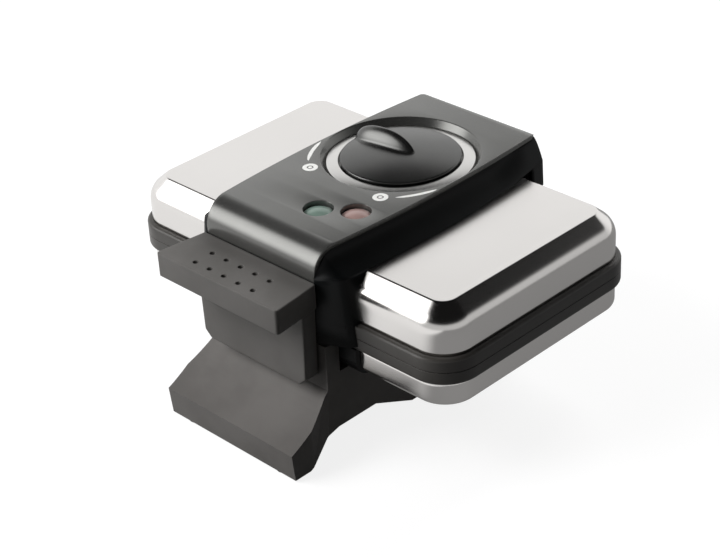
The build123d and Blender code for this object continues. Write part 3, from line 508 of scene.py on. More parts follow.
def add_wall(piece, thickness):
    """Gives a sheet its thickness on the inner side."""
    wall = piece.modifiers.new("wall", "SOLIDIFY")
    wall.thickness = thickness
    wall.offset = -1.0


BODIES = frame["record"]["behaviour"]["bodies"]
BODY_OF = {node: body for body, members in BODIES.items() for node in members}
ROUNDED_TURN = math.radians(28)


def softened(node, width, shortest):
    """A copy of a node with its points joined, its flats made whole and its long edges rounded."""
    mesh = nodes[node].data.copy()
    mesh.name = node + "_soft"
    work = bmesh.new()
    work.from_mesh(mesh)
    bmesh.ops.remove_doubles(work, verts=work.verts, dist=2e-6)
    bmesh.ops.dissolve_limit(
        work, angle_limit=math.radians(0.4), verts=work.verts, edges=work.edges, delimit={"NORMAL"}
    )
    weight = work.edges.layers.float.new("bevel_weight_edge")
    for edge in work.edges:
        turns = len(edge.link_faces) == 2 and edge.calc_face_angle(0.0) > ROUNDED_TURN
        if turns and edge.calc_length() > shortest * MM:
            edge[weight] = 1.0
    work.to_mesh(mesh)
    work.free()
    piece = finish_piece(mesh.name, mesh, NODE_SLOT[node], BODY_OF[node], (node,), 30.0)
    bevel = piece.modifiers.new("edges", "BEVEL")
    bevel.limit_method = "WEIGHT"
    bevel.width = width * MM
    bevel.segments = 3
    bevel.use_clamp_overlap = True
    bevel.harden_normals = True
    return piece


def mirrored_grid(grid):
    """The left-hand twin of a right-hand grid, its columns turned so that it faces outwards."""
    return (grid * np.array([-1.0, 1.0, 1.0]))[:, ::-1]


# Steel shells

shell_low, shell_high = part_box("upper_shell_right")
pan_low, pan_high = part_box("lower_shell_right")
BODY_Y = (shell_low.y + shell_high.y) / 2
BODY_HALF = np.array([shell_high.x, (shell_high.y - shell_low.y) / 2])
BODY_CORNER = 24.0 * MM
INNER_END = shell_low.x
SHEET = 0.9 * MM
CHAMFER_INSET = 12.8 * MM
CHAMFER_DROP = 10.8 * MM
LOWER_BEND = 16.0 * MM
UPPER_BEND = 2.2 * MM
TOP_CROWN = 0.25 * MM
PAN_EDGE = 4.5 * MM
CAP_ROWS = 18
CORNER_COLUMNS = 25
FRONT_COLUMNS = 24
SIDE_COLUMNS = 36


def half_outline(inner_end):
    """Where the right half's outline turns about, and which way is outwards there.

    It runs from the inner end along the front, round a quarter circle, along the side, round the
    other quarter circle and back along the rear; a point lies a radius outwards of each place.
    """
    reach = BODY_HALF - BODY_CORNER
    angles = np.linspace(0, math.pi / 2, CORNER_COLUMNS)
    corner = np.stack([np.sin(angles), -np.cos(angles)], axis=1)
    front_x = np.linspace(inner_end, reach[0], FRONT_COLUMNS)[:-1]
    side_y = np.linspace(-reach[1], reach[1], SIDE_COLUMNS)[1:-1]
    places = [
        np.stack([front_x, np.full_like(front_x, -reach[1])], axis=1),
        np.tile((reach[0], -reach[1]), (CORNER_COLUMNS, 1)),
        np.stack([np.full_like(side_y, reach[0]), side_y], axis=1),
        np.tile(reach, (CORNER_COLUMNS, 1)),
        np.stack([front_x[::-1], np.full_like(front_x, reach[1])], axis=1),
    ]
    outwards = [
        np.tile((0.0, -1.0), (len(front_x), 1)),
        corner,
        np.tile((1.0, 0.0), (len(side_y), 1)),
        (corner * (1, -1))[::-1],
        np.tile((0.0, 1.0), (len(front_x), 1)),
    ]
    return np.concatenate(places), np.concatenate(outwards)


def carried(profile, inner_end):
    """A profile of (inset, height) rows carried round the right half's outline."""
    places, outwards = half_outline(inner_end)
    plan = places[None] + (BODY_CORNER - profile[:, 0])[:, None, None] * outwards[None]
    plan = plan + np.array([0.0, BODY_Y])
    heights = np.broadcast_to(profile[:, 1][:, None, None], (*plan.shape[:2], 1))
    return np.concatenate([plan, heights], axis=2)


def closing_cap(rim, height, crown):
    """Rows from the last rim to the middle of the inner end.

    The height rises by crown times (1 - x^4)(1 - y^4), with x and y as shares of the way out.
    """
    centre = np.array([INNER_END, BODY_Y, height])
    share = np.linspace(0, 1, CAP_ROWS)[:, None, None]
    rows = rim[None] + (centre - rim)[None] * share
    x = np.clip((rows[..., 0] - INNER_END) / (rim[:, 0].max() - INNER_END), 0, 1)
    y = np.clip(np.abs((rows[..., 1] - BODY_Y) / (rim[:, 1].max() - BODY_Y)), 0, 1)
    rows[..., 2] = height + crown * (1 - x**4) * (1 - y**4)
    return rows[1:]


def upper_shell_grid():
    """Side wall, soft bend, flat chamfer, crisper bend and the slightly crowned top."""
    top = shell_high.z - TOP_CROWN
    corners = [
        (0.0, shell_low.z),
        (0.0, top - CHAMFER_DROP),
        (CHAMFER_INSET, top),
        (CHAMFER_INSET + 2 * UPPER_BEND, top),
    ]
    wall = carried(spread(rounded(corners, [LOWER_BEND, UPPER_BEND], 10), 3.0 * MM), INNER_END)
    return np.concatenate([wall, closing_cap(wall[-1], top, TOP_CROWN)])


def lower_shell_grid():
    """Side wall, rounded lower edge and the flat bottom, turned to face outwards."""
    corners = [(0.0, pan_high.z), (0.0, pan_low.z), (2 * PAN_EDGE, pan_low.z)]
    wall = carried(spread(rounded(corners, [PAN_EDGE], 12), 4.0 * MM), INNER_END)
    return np.concatenate([wall, closing_cap(wall[-1], pan_low.z, 0.0)])[:, ::-1]


def make_shells():
    """The four pressed steel shells, each with its sheet's thickness on the inside."""
    grids = {"upper": upper_shell_grid(), "lower": lower_shell_grid()}
    for level, grid in grids.items():
        for side in ("right", "left"):
            points = grid if side == "right" else mirrored_grid(grid)
            node = f"{level}_shell_{side}"
            name = f"{level}_steel_{side}"
            shell = make_piece(
                name, [(points, False)], "steel", BODY_OF[node], (node,), sharp=40.0, tidy=False
            )
            add_wall(shell, SHEET)


make_shells()

# Console cover

cover_low, cover_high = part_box("console_cover")
ring_low, ring_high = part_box("dial_ring")
CONSOLE_FRONT = cover_low.y
CONSOLE_REAR = cover_high.y
CONSOLE_TOP = cover_high.z
CONSOLE_HALVES = metres(52.5, 58.6, 53.5)
CONSOLE_WIDEST = BODY_Y + 12.0 * MM
FRONT_ROLL = 19.0 * MM
REAR_ROLL = 9.0 * MM
REAR_CORNER = 9.0 * MM
FRONT_LIP = 134.2 * MM
REAR_LIP = 119.0 * MM
COVER_SHEET = 3.0 * MM
COVER_EDGE = 0.5 * MM
COVER_RETURN = 2.4 * MM
FLAT_FRONT = CONSOLE_FRONT + FRONT_ROLL
FLAT_REAR = CONSOLE_REAR - REAR_ROLL
QUARTER = math.pi / 2
COVER_START = FLAT_FRONT - QUARTER * FRONT_ROLL - (CONSOLE_TOP - FRONT_ROLL - FRONT_LIP)
COVER_END = FLAT_REAR + QUARTER * REAR_ROLL + (CONSOLE_TOP - REAR_ROLL - REAR_LIP)
DIAL = np.array([0.0, (ring_low.y + ring_high.y) / 2])
DISH_MOUTH = 57.85 * MM
DISH_RIM = 57.2 * MM
DISH_FLOOR = 53.4 * MM
DISH_RIM_ROUND = 1.1 * MM
DISH_FLOOR_ROUND = 1.6 * MM
SHAFT_HOLE = 3.8 * MM
DISH_FLOOR_Z = ring_low.z
DIAL_COUNT = 160
LENS_COUNT = 56
COVER_COLUMNS = 41
LENS_MOUTH = 11.0 * MM
LENS_WALL = 10.6 * MM
LENS_SEAT = 9.0 * MM


def middle_of(node):
    """The middle of a node's box in plan."""
    low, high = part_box(node)
    return np.array([(low.x + high.x) / 2, (low.y + high.y) / 2])


def bulge(y, halves, ends):
    """Half width at y, on the circular arc through the front, the widest place and the rear."""
    places = np.array(list(zip(halves, (ends[0], CONSOLE_WIDEST, ends[1]))))
    squares = (places**2).sum(axis=1)
    middle = np.linalg.solve(2 * (places[1:] - places[0]), squares[1:] - squares[0])
    radius = np.linalg.norm(places[0] - middle)
    return middle[0] + np.sqrt(radius**2 - (y - middle[1]) ** 2)


def roll(s):
    """Height, depth and tilt at a distance s along the console's side view.

    The top is flat; past each of its ends the sheet turns down through a quarter circle and drops.
    """
    y = np.clip(s, FLAT_FRONT, FLAT_REAR)
    z = np.full_like(y, CONSOLE_TOP)
    tilt = np.zeros_like(y)
    ends = ((FLAT_FRONT - s, FRONT_ROLL, -1), (s - FLAT_REAR, REAR_ROLL, 1))
    for past, radius, way in ends:
        turn = np.clip(past / radius, 0, QUARTER)
        y = y + way * radius * np.sin(turn)
        z = z - radius * (1 - np.cos(turn)) - np.maximum(past - radius * QUARTER, 0)
        tilt = tilt + way * turn
    return y, z, tilt


def cover_half(s):
    """The cover's half width, drawn in round its rear corners."""
    y, z, tilt = roll(s)
    past = np.clip((y - (CONSOLE_REAR - REAR_CORNER)) / REAR_CORNER, 0, 1)
    corner = REAR_CORNER * (1 - np.sqrt(1 - past**2))
    return bulge(y, CONSOLE_HALVES, (CONSOLE_FRONT, CONSOLE_REAR)) - corner


def on_cover(x, s):
    """Points of the cover's outer face."""
    y, z, tilt = roll(s)
    return np.stack(np.broadcast_arrays(x, y, z), axis=-1)


def cover_strip(s, across):
    """A strip between the rounded side edges, as shares of the half width."""
    return on_cover(across[None] * (cover_half(s) - COVER_EDGE)[:, None], s[:, None]), False


def cover_edge(x, s, out_x, out_s):
    """The edge all round: a small round, the sheet's thickness, and a return under it."""
    y, z, tilt = roll(s)
    zero = np.zeros_like(tilt)
    along = np.stack([zero, np.cos(tilt), -np.sin(tilt)], axis=1)
    outward = out_x[:, None] * np.array([1.0, 0.0, 0.0]) + out_s[:, None] * along
    normal = np.stack([zero, np.sin(tilt), np.cos(tilt)], axis=1)
    turn = np.linspace(0, QUARTER, 5)
    out = np.concatenate([COVER_EDGE * np.sin(turn), [COVER_EDGE, COVER_EDGE - COVER_RETURN]])
    drop = np.concatenate([COVER_EDGE * (1 - np.cos(turn)), [COVER_SHEET, COVER_SHEET]])
    rows = on_cover(x, s)[None] + out[:, None, None] * outward - drop[:, None, None] * normal
    return rows, True


def circle(centre, radius, count, z):
    """Points evenly round a level circle."""
    return lathe([(radius, z)], centre, count)[0][0]


def make_cover():
    """Rolled top panel: flat top with its holes, two rolled ends, the edge, dish and lens wells."""
    across = np.linspace(-1, 1, COVER_COLUMNS)
    front = np.linspace(COVER_START + COVER_EDGE, FLAT_FRONT, 34)
    sides = np.linspace(FLAT_FRONT, FLAT_REAR, 90)
    rear = np.linspace(FLAT_REAR, COVER_END - COVER_EDGE, 36)
    s = np.concatenate([front[:-1], sides, rear[1:]])
    half = cover_half(s) - COVER_EDGE
    ones = np.ones(len(s))
    middle = np.zeros(COVER_COLUMNS - 2)
    row = np.ones(COVER_COLUMNS)
    x = np.concatenate([across * half[0], half[1:-1], across[::-1] * half[-1], -half[1:-1][::-1]])
    outline_s = np.concatenate([row * s[0], s[1:-1], row * s[-1], s[1:-1][::-1]])
    out_x = np.concatenate([[-1], middle, [1], ones[1:-1], [1], middle, [-1], -ones[1:-1]])
    out_s = np.concatenate([-row, 0 * ones[1:-1], row, 0 * ones[1:-1]])
    patches = [
        cover_strip(front, across),
        cover_strip(rear, across),
        cover_edge(x, outline_s, out_x, out_s),
    ]
    side_half = cover_half(sides) - COVER_EDGE
    top_x = np.concatenate([
        across * side_half[0], side_half[1:-1], across[::-1] * side_half[-1], -side_half[1:-1][::-1]
    ])
    top_y = np.concatenate([row * sides[0], sides[1:-1], row * sides[-1], sides[1:-1][::-1]])
    loops = [on_cover(top_x, top_y), circle(DIAL, DISH_MOUTH, DIAL_COUNT, CONSOLE_TOP)]
    dish = [
        (DISH_MOUTH, CONSOLE_TOP),
        (DISH_RIM, CONSOLE_TOP),
        (DISH_FLOOR, DISH_FLOOR_Z),
        (SHAFT_HOLE, DISH_FLOOR_Z),
    ]
    patches.append(lathe(rounded(dish, [DISH_RIM_ROUND, DISH_FLOOR_ROUND], 8), DIAL, DIAL_COUNT))
    for node in ("green_lens", "red_lens"):
        seat_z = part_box(node)[0].z
        well = [
            (LENS_MOUTH, CONSOLE_TOP),
            (LENS_WALL, CONSOLE_TOP),
            (LENS_WALL, seat_z),
            (LENS_SEAT, seat_z),
        ]
        centre = middle_of(node)
        loops.append(circle(centre, LENS_MOUTH, LENS_COUNT, CONSOLE_TOP))
        patches.append(lathe(rounded(well, 2 * [LENS_MOUTH - LENS_WALL], 4), centre, LENS_COUNT))
    make_piece(
        "console_top", patches, "console_plastic", "lid", ("console_cover",), [loops], sharp=38.0
    )


make_cover()

# Console skirt

skirt_low, skirt_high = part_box("console_skirt")
SKIRT_TOP = CONSOLE_TOP - COVER_SHEET - 0.35 * MM
SKIRT_FOOT = shell_high.z + 0.3 * MM
SKIRT_POWER = 2.1
SKIRT_REAR_POWER = 0.7
SKIRT_TURNS_FROM = BODY_Y + 55.0 * MM
SKIRT_TOP_HALVES = metres(53.0, 58.1, 53.0)
SKIRT_FOOT_HALVES = metres(68.0, 74.0, 61.0)
SKIRT_NOSE = CONSOLE_HALVES[0] + 0.2 * MM
SKIRT_FRONT = skirt_low.y
SKIRT_INNER_FRONT = CONSOLE_FRONT + COVER_SHEET + 0.3 * MM
SKIRT_REAR = skirt_high.y
SKIRT_SHEET = 2.0 * MM
SHOULDER_Y = BODY_Y - 100.9 * MM
SHOULDER_ROUND = 9.0 * MM
REAR_EDGE_ROUND = 2.5 * MM
STEEL_FRONT = shell_low.y
STEEL_REAR = shell_high.y + 0.3 * MM
RIM_FRONT = STEEL_FRONT - 4.3 * MM
RIM_TOP = shell_low.z + 0.3 * MM
FLANK_LAP = 1.2 * MM
WALL_LOW = skirt_low.z
WALL_LOW_HALF = 75.0 * MM
COVER_SLOT = FRONT_LIP - 0.3 * MM
TAIL_LOW = REAR_LIP
TAIL_HALF = 65.0 * MM
REAR_WALL_HALF = 59.7 * MM
REAR_WALL_THICK = 4.3 * MM
NOSE_COLUMNS = 11
CENTRE_COLUMNS = 9
FLARE_COLUMNS = 60
TAIL_COLUMN = NOSE_COLUMNS + FLARE_COLUMNS - 2


def skirt_plan(halves, front, flank=None):
    """Half the skirt's plan: its nose, a rounded shoulder, a bulged side and the rear."""
    flank = STEEL_FRONT if flank is None else flank
    near = bulge(np.array([SHOULDER_Y, flank]), halves, (SHOULDER_Y, SKIRT_REAR))
    nose = [(SKIRT_NOSE, front), (near[0], SHOULDER_Y), (near[1], flank)]
    side_y = np.concatenate([
        np.linspace(STEEL_FRONT, STEEL_REAR, FLARE_COLUMNS)[1:-1],
        np.linspace(STEEL_REAR, SKIRT_REAR - 2 * REAR_EDGE_ROUND, 5),
    ])
    side = np.stack([bulge(side_y, halves, (SHOULDER_Y, SKIRT_REAR)), side_y], axis=1)
    rear = [side[-1], (halves[2], SKIRT_REAR), (0.0, SKIRT_REAR)]
    return np.concatenate([
        rounded(nose, [SHOULDER_ROUND], 8), side[:-1], rounded(rear, [REAR_EDGE_ROUND], 6)
    ])


def flare_grid():
    """The hollow sides: the plan grows from top to foot by the share of the way down, to a power.

    The power falls towards the rear by a smooth step, so that the sides turn from hollow to full.
    Its upper edge keeps under the cover: at the front it comes down with the roll's inner face.
    """
    top = skirt_plan(SKIRT_TOP_HALVES, SKIRT_INNER_FRONT)
    foot = skirt_plan(SKIRT_FOOT_HALVES, SKIRT_FRONT)
    inner_roll = FRONT_ROLL - COVER_SHEET - 0.3 * MM
    past = np.clip(FLAT_FRONT - top[:, 1], 0, inner_roll)
    room = CONSOLE_TOP - FRONT_ROLL + np.sqrt(inner_roll**2 - past**2)
    upper = np.maximum(np.minimum(SKIRT_TOP, room), SKIRT_FOOT + 0.1 * MM)
    share = np.linspace(0, 1, 26)[:, None]
    z = upper + share * (SKIRT_FOOT - upper)
    turned = np.clip((top[:, 1] - SKIRT_TURNS_FROM) / (STEEL_REAR - SKIRT_TURNS_FROM), 0, 1)
    power = SKIRT_POWER + (SKIRT_REAR_POWER - SKIRT_POWER) * turned**2 * (3 - 2 * turned)
    growth = ((SKIRT_TOP - z) / (SKIRT_TOP - SKIRT_FOOT)) ** power
    plan = top[None] + growth[..., None] * (foot - top)[None]
    return np.concatenate([plan, z[..., None]], axis=2)


def front_wall_grid(levels, centre):
    """The front wall's rows, widening as they go down; it steps forward where the rims begin."""
    rows = []
    for z in levels:
        share = (SKIRT_FOOT - z) / (SKIRT_FOOT - WALL_LOW)
        half = SKIRT_FOOT_HALVES[0] + share * (WALL_LOW_HALF - SKIRT_FOOT_HALVES[0])
        grow = half - SKIRT_FOOT_HALVES[0]
        halves = (half, SKIRT_FOOT_HALVES[1] + grow, SKIRT_FOOT_HALVES[2])
        flank = STEEL_FRONT + CHAMFER_INSET if z > RIM_TOP else RIM_FRONT
        plan = skirt_plan(halves, SKIRT_FRONT, flank + FLANK_LAP)[:NOSE_COLUMNS]
        if centre:
            across = np.linspace(0, SKIRT_NOSE, CENTRE_COLUMNS)
            plan = np.stack([across, np.full(CENTRE_COLUMNS, SKIRT_FRONT)], axis=1)
        rows.append(np.concatenate([plan, np.full((len(plan), 1), z)], axis=1))
    return np.stack(rows)


def tail_grid():
    """The end behind the steel, from the flare's foot down to its own flat bottom."""
    foot = skirt_plan(SKIRT_FOOT_HALVES, SKIRT_FRONT)[TAIL_COLUMN:]
    share = np.linspace(0, 1, 8)[:, None]
    low = foot * np.array([TAIL_HALF / foot[0, 0], 1.0])
    plan = foot[None] + share[..., None] * (low - foot)[None]
    z = SKIRT_FOOT + share * (TAIL_LOW - SKIRT_FOOT) + np.zeros(len(foot))
    rows = np.concatenate([plan, z[..., None]], axis=2)
    bottom = rows[-1] * np.array([0.0, 1.0, 1.0])
    return np.concatenate([rows, bottom[None]])


def make_skirt():
    """Black lid centre: flared sides, front wall round the handle's seat, tail and rear wall."""
    upper_levels = np.concatenate([np.linspace(SKIRT_FOOT, COVER_SLOT, 3), [RIM_TOP + 0.01 * MM]])
    lower_levels = [RIM_TOP, WALL_LOW]
    grids = [
        flare_grid(),
        front_wall_grid([*upper_levels, *lower_levels], False),
        front_wall_grid([COVER_SLOT, *upper_levels[-1:], *lower_levels], True),
        tail_grid(),
    ]
    patches = [(grid, False) for grid in grids] + [(mirrored_grid(grid), False) for grid in grids]
    wall_x = np.array([-1.0, -1.0, 1.0, 1.0]) * REAR_WALL_HALF
    wall_y = STEEL_REAR + np.array([0.0, 1.0, 1.0, 0.0]) * REAR_WALL_THICK
    levels = np.array([SKIRT_FOOT, RIM_TOP])[:, None]
    rear_wall = np.stack(np.broadcast_arrays(wall_x, wall_y, levels), axis=-1)
    patches.append((rear_wall, False))
    skirt = make_piece("lid_skirt", patches, "skirt_plastic", "lid", ("console_skirt",), sharp=34.0)
    add_wall(skirt, SKIRT_SHEET)


make_skirt()

# Dial, knob and lenses

knob_low, knob_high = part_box("knob")
KNOB_RADIUS = (knob_high.x - knob_low.x) / 2
KNOB_EDGE_Z = 156.4 * MM
KNOB_CROWN = 4.4 * MM
KNOB_EDGE_ROUND = 1.1 * MM
KNOB_LIP = 1.9 * MM
KNOB_UNDERCUT = 5.0 * MM
GRIP_TURN = math.radians(2)
GRIP_ASIDE = 1.6 * MM
GRIP_LEAN = 0.24
GRIP_SQUARE = 1.1
GRIP_END = 0.6 * MM
GRIP_TIP = 11.5 * MM
GRIP_HALF = 6.4 * MM
GRIP_HEIGHT = knob_high.z - KNOB_EDGE_Z - KNOB_CROWN + 0.4 * MM
GRIP_WIDEST = 0.38
GRIP_NOSE_POWER = 2.6
GRIP_TAPER_POWER = 2.3
GRIP_FLARE = 1.8 * MM
GRIP_FLARE_RISE = 2.4 * MM
RING_INNER = 44.3 * MM
RING_RISE = 1.9 * MM
RING_DROP = 1.3 * MM
LENS_RISE = 2.6 * MM
LENS_CROWN = 2.4 * MM
LENS_EDGE = 0.8 * MM


def knob_face(radius):
    """Height of the knob's face: a shallow crown that falls with the square of the radius."""
    return KNOB_EDGE_Z + KNOB_CROWN * (1 - (radius / KNOB_RADIUS) ** 2)


def grip_share(along, power):
    """Fullness from rim end to tip: a blunt superellipse nose, then a taper to a rounded tip."""
    nose = (1 - (1 - np.clip(along / GRIP_WIDEST, 0, 1)) ** GRIP_NOSE_POWER) ** (1 / GRIP_NOSE_POWER)
    taper = np.clip((along - GRIP_WIDEST) / (1 - GRIP_WIDEST), 0, 1)
    return nose * (1 - taper**GRIP_TAPER_POWER) ** power


def grip_grid():
    """The finger grip: leaning superellipses across, with a soft flare where they meet the face.

    A point at angle a lies at half width * (cos a)^1.1 and height * (sin a)^1.1, moved back by the
    lean times its rise; below the flare's rise it moves outwards by the flare times the cube of
    what is left of the rise.
    """
    along = (1 - np.cos(math.pi * np.linspace(0.015, 1, 72))) / 2
    angle = np.linspace(0, math.pi, 65)
    fullness = grip_share(along, 0.5)[:, None]
    rise = GRIP_HEIGHT * grip_share(along, 0.65)[:, None] * np.sin(angle) ** GRIP_SQUARE
    flare = GRIP_FLARE * (1 - np.clip(rise / GRIP_FLARE_RISE, 0, 1)) ** 3
    out = fullness * (GRIP_HALF * np.abs(np.cos(angle)) ** GRIP_SQUARE + flare)
    across = np.sign(np.cos(angle)) * out + GRIP_LEAN * rise + GRIP_ASIDE
    start = GRIP_END - KNOB_RADIUS
    length = start + along[:, None] * (GRIP_TIP - start) + 0 * across
    x = length * math.cos(GRIP_TURN) - across * math.sin(GRIP_TURN)
    y = length * math.sin(GRIP_TURN) + across * math.cos(GRIP_TURN)
    face = knob_face(np.minimum(np.hypot(x, y), KNOB_RADIUS - KNOB_EDGE_ROUND))
    grid = np.stack([x, y + DIAL[1], face + rise - 0.02 * MM], axis=-1)
    return grid[:, ::-1]


def make_knob():
    """Turning disc with a domed face, thin rounded rim, drawn-in underside and teardrop grip."""
    radii = np.linspace(0, KNOB_RADIUS - 2 * KNOB_EDGE_ROUND, 20)
    face = np.stack([radii, knob_face(radii)], axis=1)
    edge = rounded(
        [
            face[-1],
            (KNOB_RADIUS, knob_face(KNOB_RADIUS)),
            (KNOB_RADIUS - 0.3 * KNOB_LIP, KNOB_EDGE_Z - KNOB_LIP),
            (KNOB_RADIUS - KNOB_UNDERCUT, KNOB_EDGE_Z - KNOB_LIP - 0.5 * MM),
            (KNOB_RADIUS - KNOB_UNDERCUT, knob_low.z),
            (SHAFT_HOLE, knob_low.z),
        ],
        [KNOB_EDGE_ROUND, 0.4 * MM, 0.8 * MM, 0.3 * MM],
    )
    disc = lathe(np.concatenate([face[:-1], edge]), DIAL, 144)
    patches = [disc, (grip_grid(), False)]
    make_piece("dial_knob", patches, "knob_plastic", "knob", ("knob",), sharp=50.0)


def make_ring():
    """Bright trim ring: its face falls outwards as a shallow cone from under the knob's rim."""
    outer = (ring_high.x - ring_low.x) / 2
    top = ring_high.z + RING_RISE
    profile = [
        (RING_INNER, ring_low.z),
        (RING_INNER, top),
        (outer, top - RING_DROP),
        (outer, ring_low.z),
    ]
    band = lathe(rounded(profile, [0.4 * MM, 0.3 * MM]), DIAL, 160)
    make_piece("trim_ring", [band], "dial_silver", "lid", ("dial_ring",), sharp=45.0)


def make_lenses():
    """Two domed lenses with rounded edges."""
    for node, slot in (("green_lens", "green_clear"), ("red_lens", "red_clear")):
        low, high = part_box(node)
        radius = (high.x - low.x) / 2
        top = high.z + LENS_RISE
        radii = np.linspace(0, radius - 2 * LENS_EDGE, 12)
        dome = np.stack([radii, top - LENS_CROWN * (radii / radius) ** 2], axis=1)
        edge = rounded([dome[-1], (radius, top - LENS_CROWN), (radius, low.z)], [LENS_EDGE])
        lens = lathe(np.concatenate([dome[:-1], edge]), middle_of(node), LENS_COUNT)
        make_piece(node + "_dome", [lens], slot, "lid", (node,), sharp=50.0)


make_knob()
make_ring()
make_lenses()

# Handle

ledge_low, ledge_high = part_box("handle_ledge")
apron_low, apron_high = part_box("handle_apron")
HANDLE_SEAT = ledge_high.y
LEDGE_FRONT_HALF = 59.2 * MM
LEDGE_REAR_HALF = 54.5 * MM
LEDGE_CORNER = 2.2 * MM
LEDGE_EDGE = 0.9 * MM
DIMPLE_COLUMNS = 5
DIMPLE_ROWS = 2
DIMPLE_PITCH = metres(14.1, 15.2)
DIMPLE_MIDDLE_Y = BODY_Y - 136.0 * MM
DIMPLE_RADIUS = 2.1 * MM
DIMPLE_DEPTH = 3.5 * MM
DIMPLE_RIM = 0.35 * MM
APRON_FRONT = BODY_Y - 124.0 * MM
APRON_TOP_HALF = 52.4 * MM
APRON_FOOT_HALF = 50.6 * MM
APRON_CUT = metres(6.0, 5.5)
APRON_EDGE = 1.0 * MM


def slab(corners, corner_round, low, high, edge):
    """A plate with rounded corners and edges: its side's rows, and the two rims left for its faces.

    Each corner of the outline, taken anticlockwise, gets an arc whose middle lies on the corner's
    bisector, round / sin(half its angle) away; a row lies its inset inside the outline.
    """
    corners = np.asarray(corners, float)
    middles = []
    outwards = []
    for before, corner, after in zip(np.roll(corners, 1, 0), corners, np.roll(corners, -1, 0)):
        a = (before - corner) / np.linalg.norm(before - corner)
        b = (after - corner) / np.linalg.norm(after - corner)
        half = math.acos(float(a @ b)) / 2
        middle = corner + (a + b) / np.linalg.norm(a + b) * corner_round / math.sin(half)
        first = math.atan2(a[0], -a[1])
        turn = np.linspace(0, math.pi - 2 * half, 6) + first
        middles.append(np.tile(middle, (6, 1)))
        outwards.append(np.stack([np.cos(turn), np.sin(turn)], axis=1))
    middles = np.concatenate(middles)
    outwards = np.concatenate(outwards)
    profile = rounded([(2 * edge, low), (0.0, low), (0.0, high), (2 * edge, high)], [edge, edge], 4)
    plan = middles[None] + (corner_round - profile[:, 0])[:, None, None] * outwards[None]
    heights = np.broadcast_to(profile[:, 1][:, None, None], (*plan.shape[:2], 1))
    grid = np.concatenate([plan, heights], axis=2)
    return grid, grid[0], grid[-1]


def make_ledge():
    """Flat lift handle, narrower at its root, with two rows of blind dimples."""
    corners = [
        (-LEDGE_FRONT_HALF, ledge_low.y),
        (LEDGE_FRONT_HALF, ledge_low.y),
        (LEDGE_REAR_HALF, HANDLE_SEAT),
        (-LEDGE_REAR_HALF, HANDLE_SEAT),
    ]
    grid, bottom, top = slab(corners, LEDGE_CORNER, ledge_low.z, ledge_high.z, LEDGE_EDGE)
    patches = [(grid, True)]
    loops = [top]
    well = rounded(
        [
            (DIMPLE_RADIUS + DIMPLE_RIM, ledge_high.z),
            (DIMPLE_RADIUS, ledge_high.z),
            (0.85 * DIMPLE_RADIUS, ledge_high.z - DIMPLE_DEPTH),
            (0.0, ledge_high.z - DIMPLE_DEPTH),
        ],
        [0.8 * DIMPLE_RIM, DIMPLE_RIM],
        3,
    )
    for column in range(DIMPLE_COLUMNS):
        for row in range(DIMPLE_ROWS):
            x = (column - (DIMPLE_COLUMNS - 1) / 2) * DIMPLE_PITCH[0]
            y = DIMPLE_MIDDLE_Y + (row - (DIMPLE_ROWS - 1) / 2) * DIMPLE_PITCH[1]
            patches.append(lathe(well, (x, y), 24))
            loops.append(circle((x, y), well[0, 0], 24, ledge_high.z))
    make_piece(
        "lift_ledge",
        patches,
        "handle_plastic",
        BODY_OF["handle_ledge"],
        ("handle_ledge",),
        [[bottom], loops],
    )


def make_apron():
    """Upright plate under the ledge, slightly narrower downwards, with two cut corners."""
    foot = apron_low.z + APRON_EDGE
    corners = [
        (-APRON_FOOT_HALF + APRON_CUT[0], foot),
        (APRON_FOOT_HALF - APRON_CUT[0], foot),
        (APRON_FOOT_HALF, foot + APRON_CUT[1]),
        (APRON_TOP_HALF, apron_high.z),
        (-APRON_TOP_HALF, apron_high.z),
        (-APRON_FOOT_HALF, foot + APRON_CUT[1]),
    ]
    flat = slab(corners, 2 * APRON_EDGE, -apron_high.y, -APRON_FRONT, APRON_EDGE)
    grid, back, front = [points[..., [0, 2, 1]] * np.array([1.0, -1.0, 1.0]) for points in flat]
    make_piece(
        "lift_apron",
        [(grid, True)],
        "handle_plastic",
        BODY_OF["handle_apron"],
        ("handle_apron",),
        [[back], [front]],
    )


make_ledge()
make_apron()

# Pieces whose construction is right as it is, with their edges softened

SOFT_EDGES = {
    "base_pedestal": (1.2, 3.0),
    "lower_housing": (1.2, 3.0),
    "base_cover": (0.6, 3.0),
    "upper_rim": (0.35, 0.9),
    "lower_rim": (0.35, 0.9),
    "upper_plate_right": (0.5, 3.0),
    "upper_plate_left": (0.5, 3.0),
    "lower_plate_right": (0.5, 3.0),
    "lower_plate_left": (0.5, 3.0),
    "base_hinge_bracket": (0.4, 3.0),
    "lid_hinge_bracket": (0.4, 3.0),
    "cord_gland": (0.5, 3.0),
}

for name, (width, shortest) in SOFT_EDGES.items():
    softened(name, width, shortest)

# Stage and light

FLOOR_HALF = 3.0
FLOOR_SEEN = 0.22
FLOOR_BOUNCE = 0.08
FLOOR_GLOW = 0.85
# painted pool of light: the floor's glow in reflections, from dim to bright towards the front left
PAINTED_POOL_BRIGHT = 0.85
PAINTED_POOL_DIM = 0.21
PAINTED_POOL_SOFT = metres(30, 170)
AMBIENT = 0.045
CEILING_EDGE = 0.375
CEILING_EDGE_BEHIND = 0.235
CEILING_SOFT = (-0.06, 0.08)
CEILING_LEVEL = 0.008
WALLS_LEVEL = 0.58
WALLS_LEVEL_BEHIND = 0.42
KEY_TOWARDS = (-0.62, -0.642, 0.451)
KEY_SOFT = (0.88, 0.995)
KEY_LEVEL = 3.7
LAMPS = {
    "key_light": ((-0.9, -1.2, 1.2), (0, 0, 0.08), 1.2, 42),
    "top_light": ((-0.2, 1.2, 1.1), (0, 0, 0.1), 0.7, 16),
    "back_light": ((-0.5, 1.6, 0.5), (0, 0, 0.1), 1.2, 6),
}


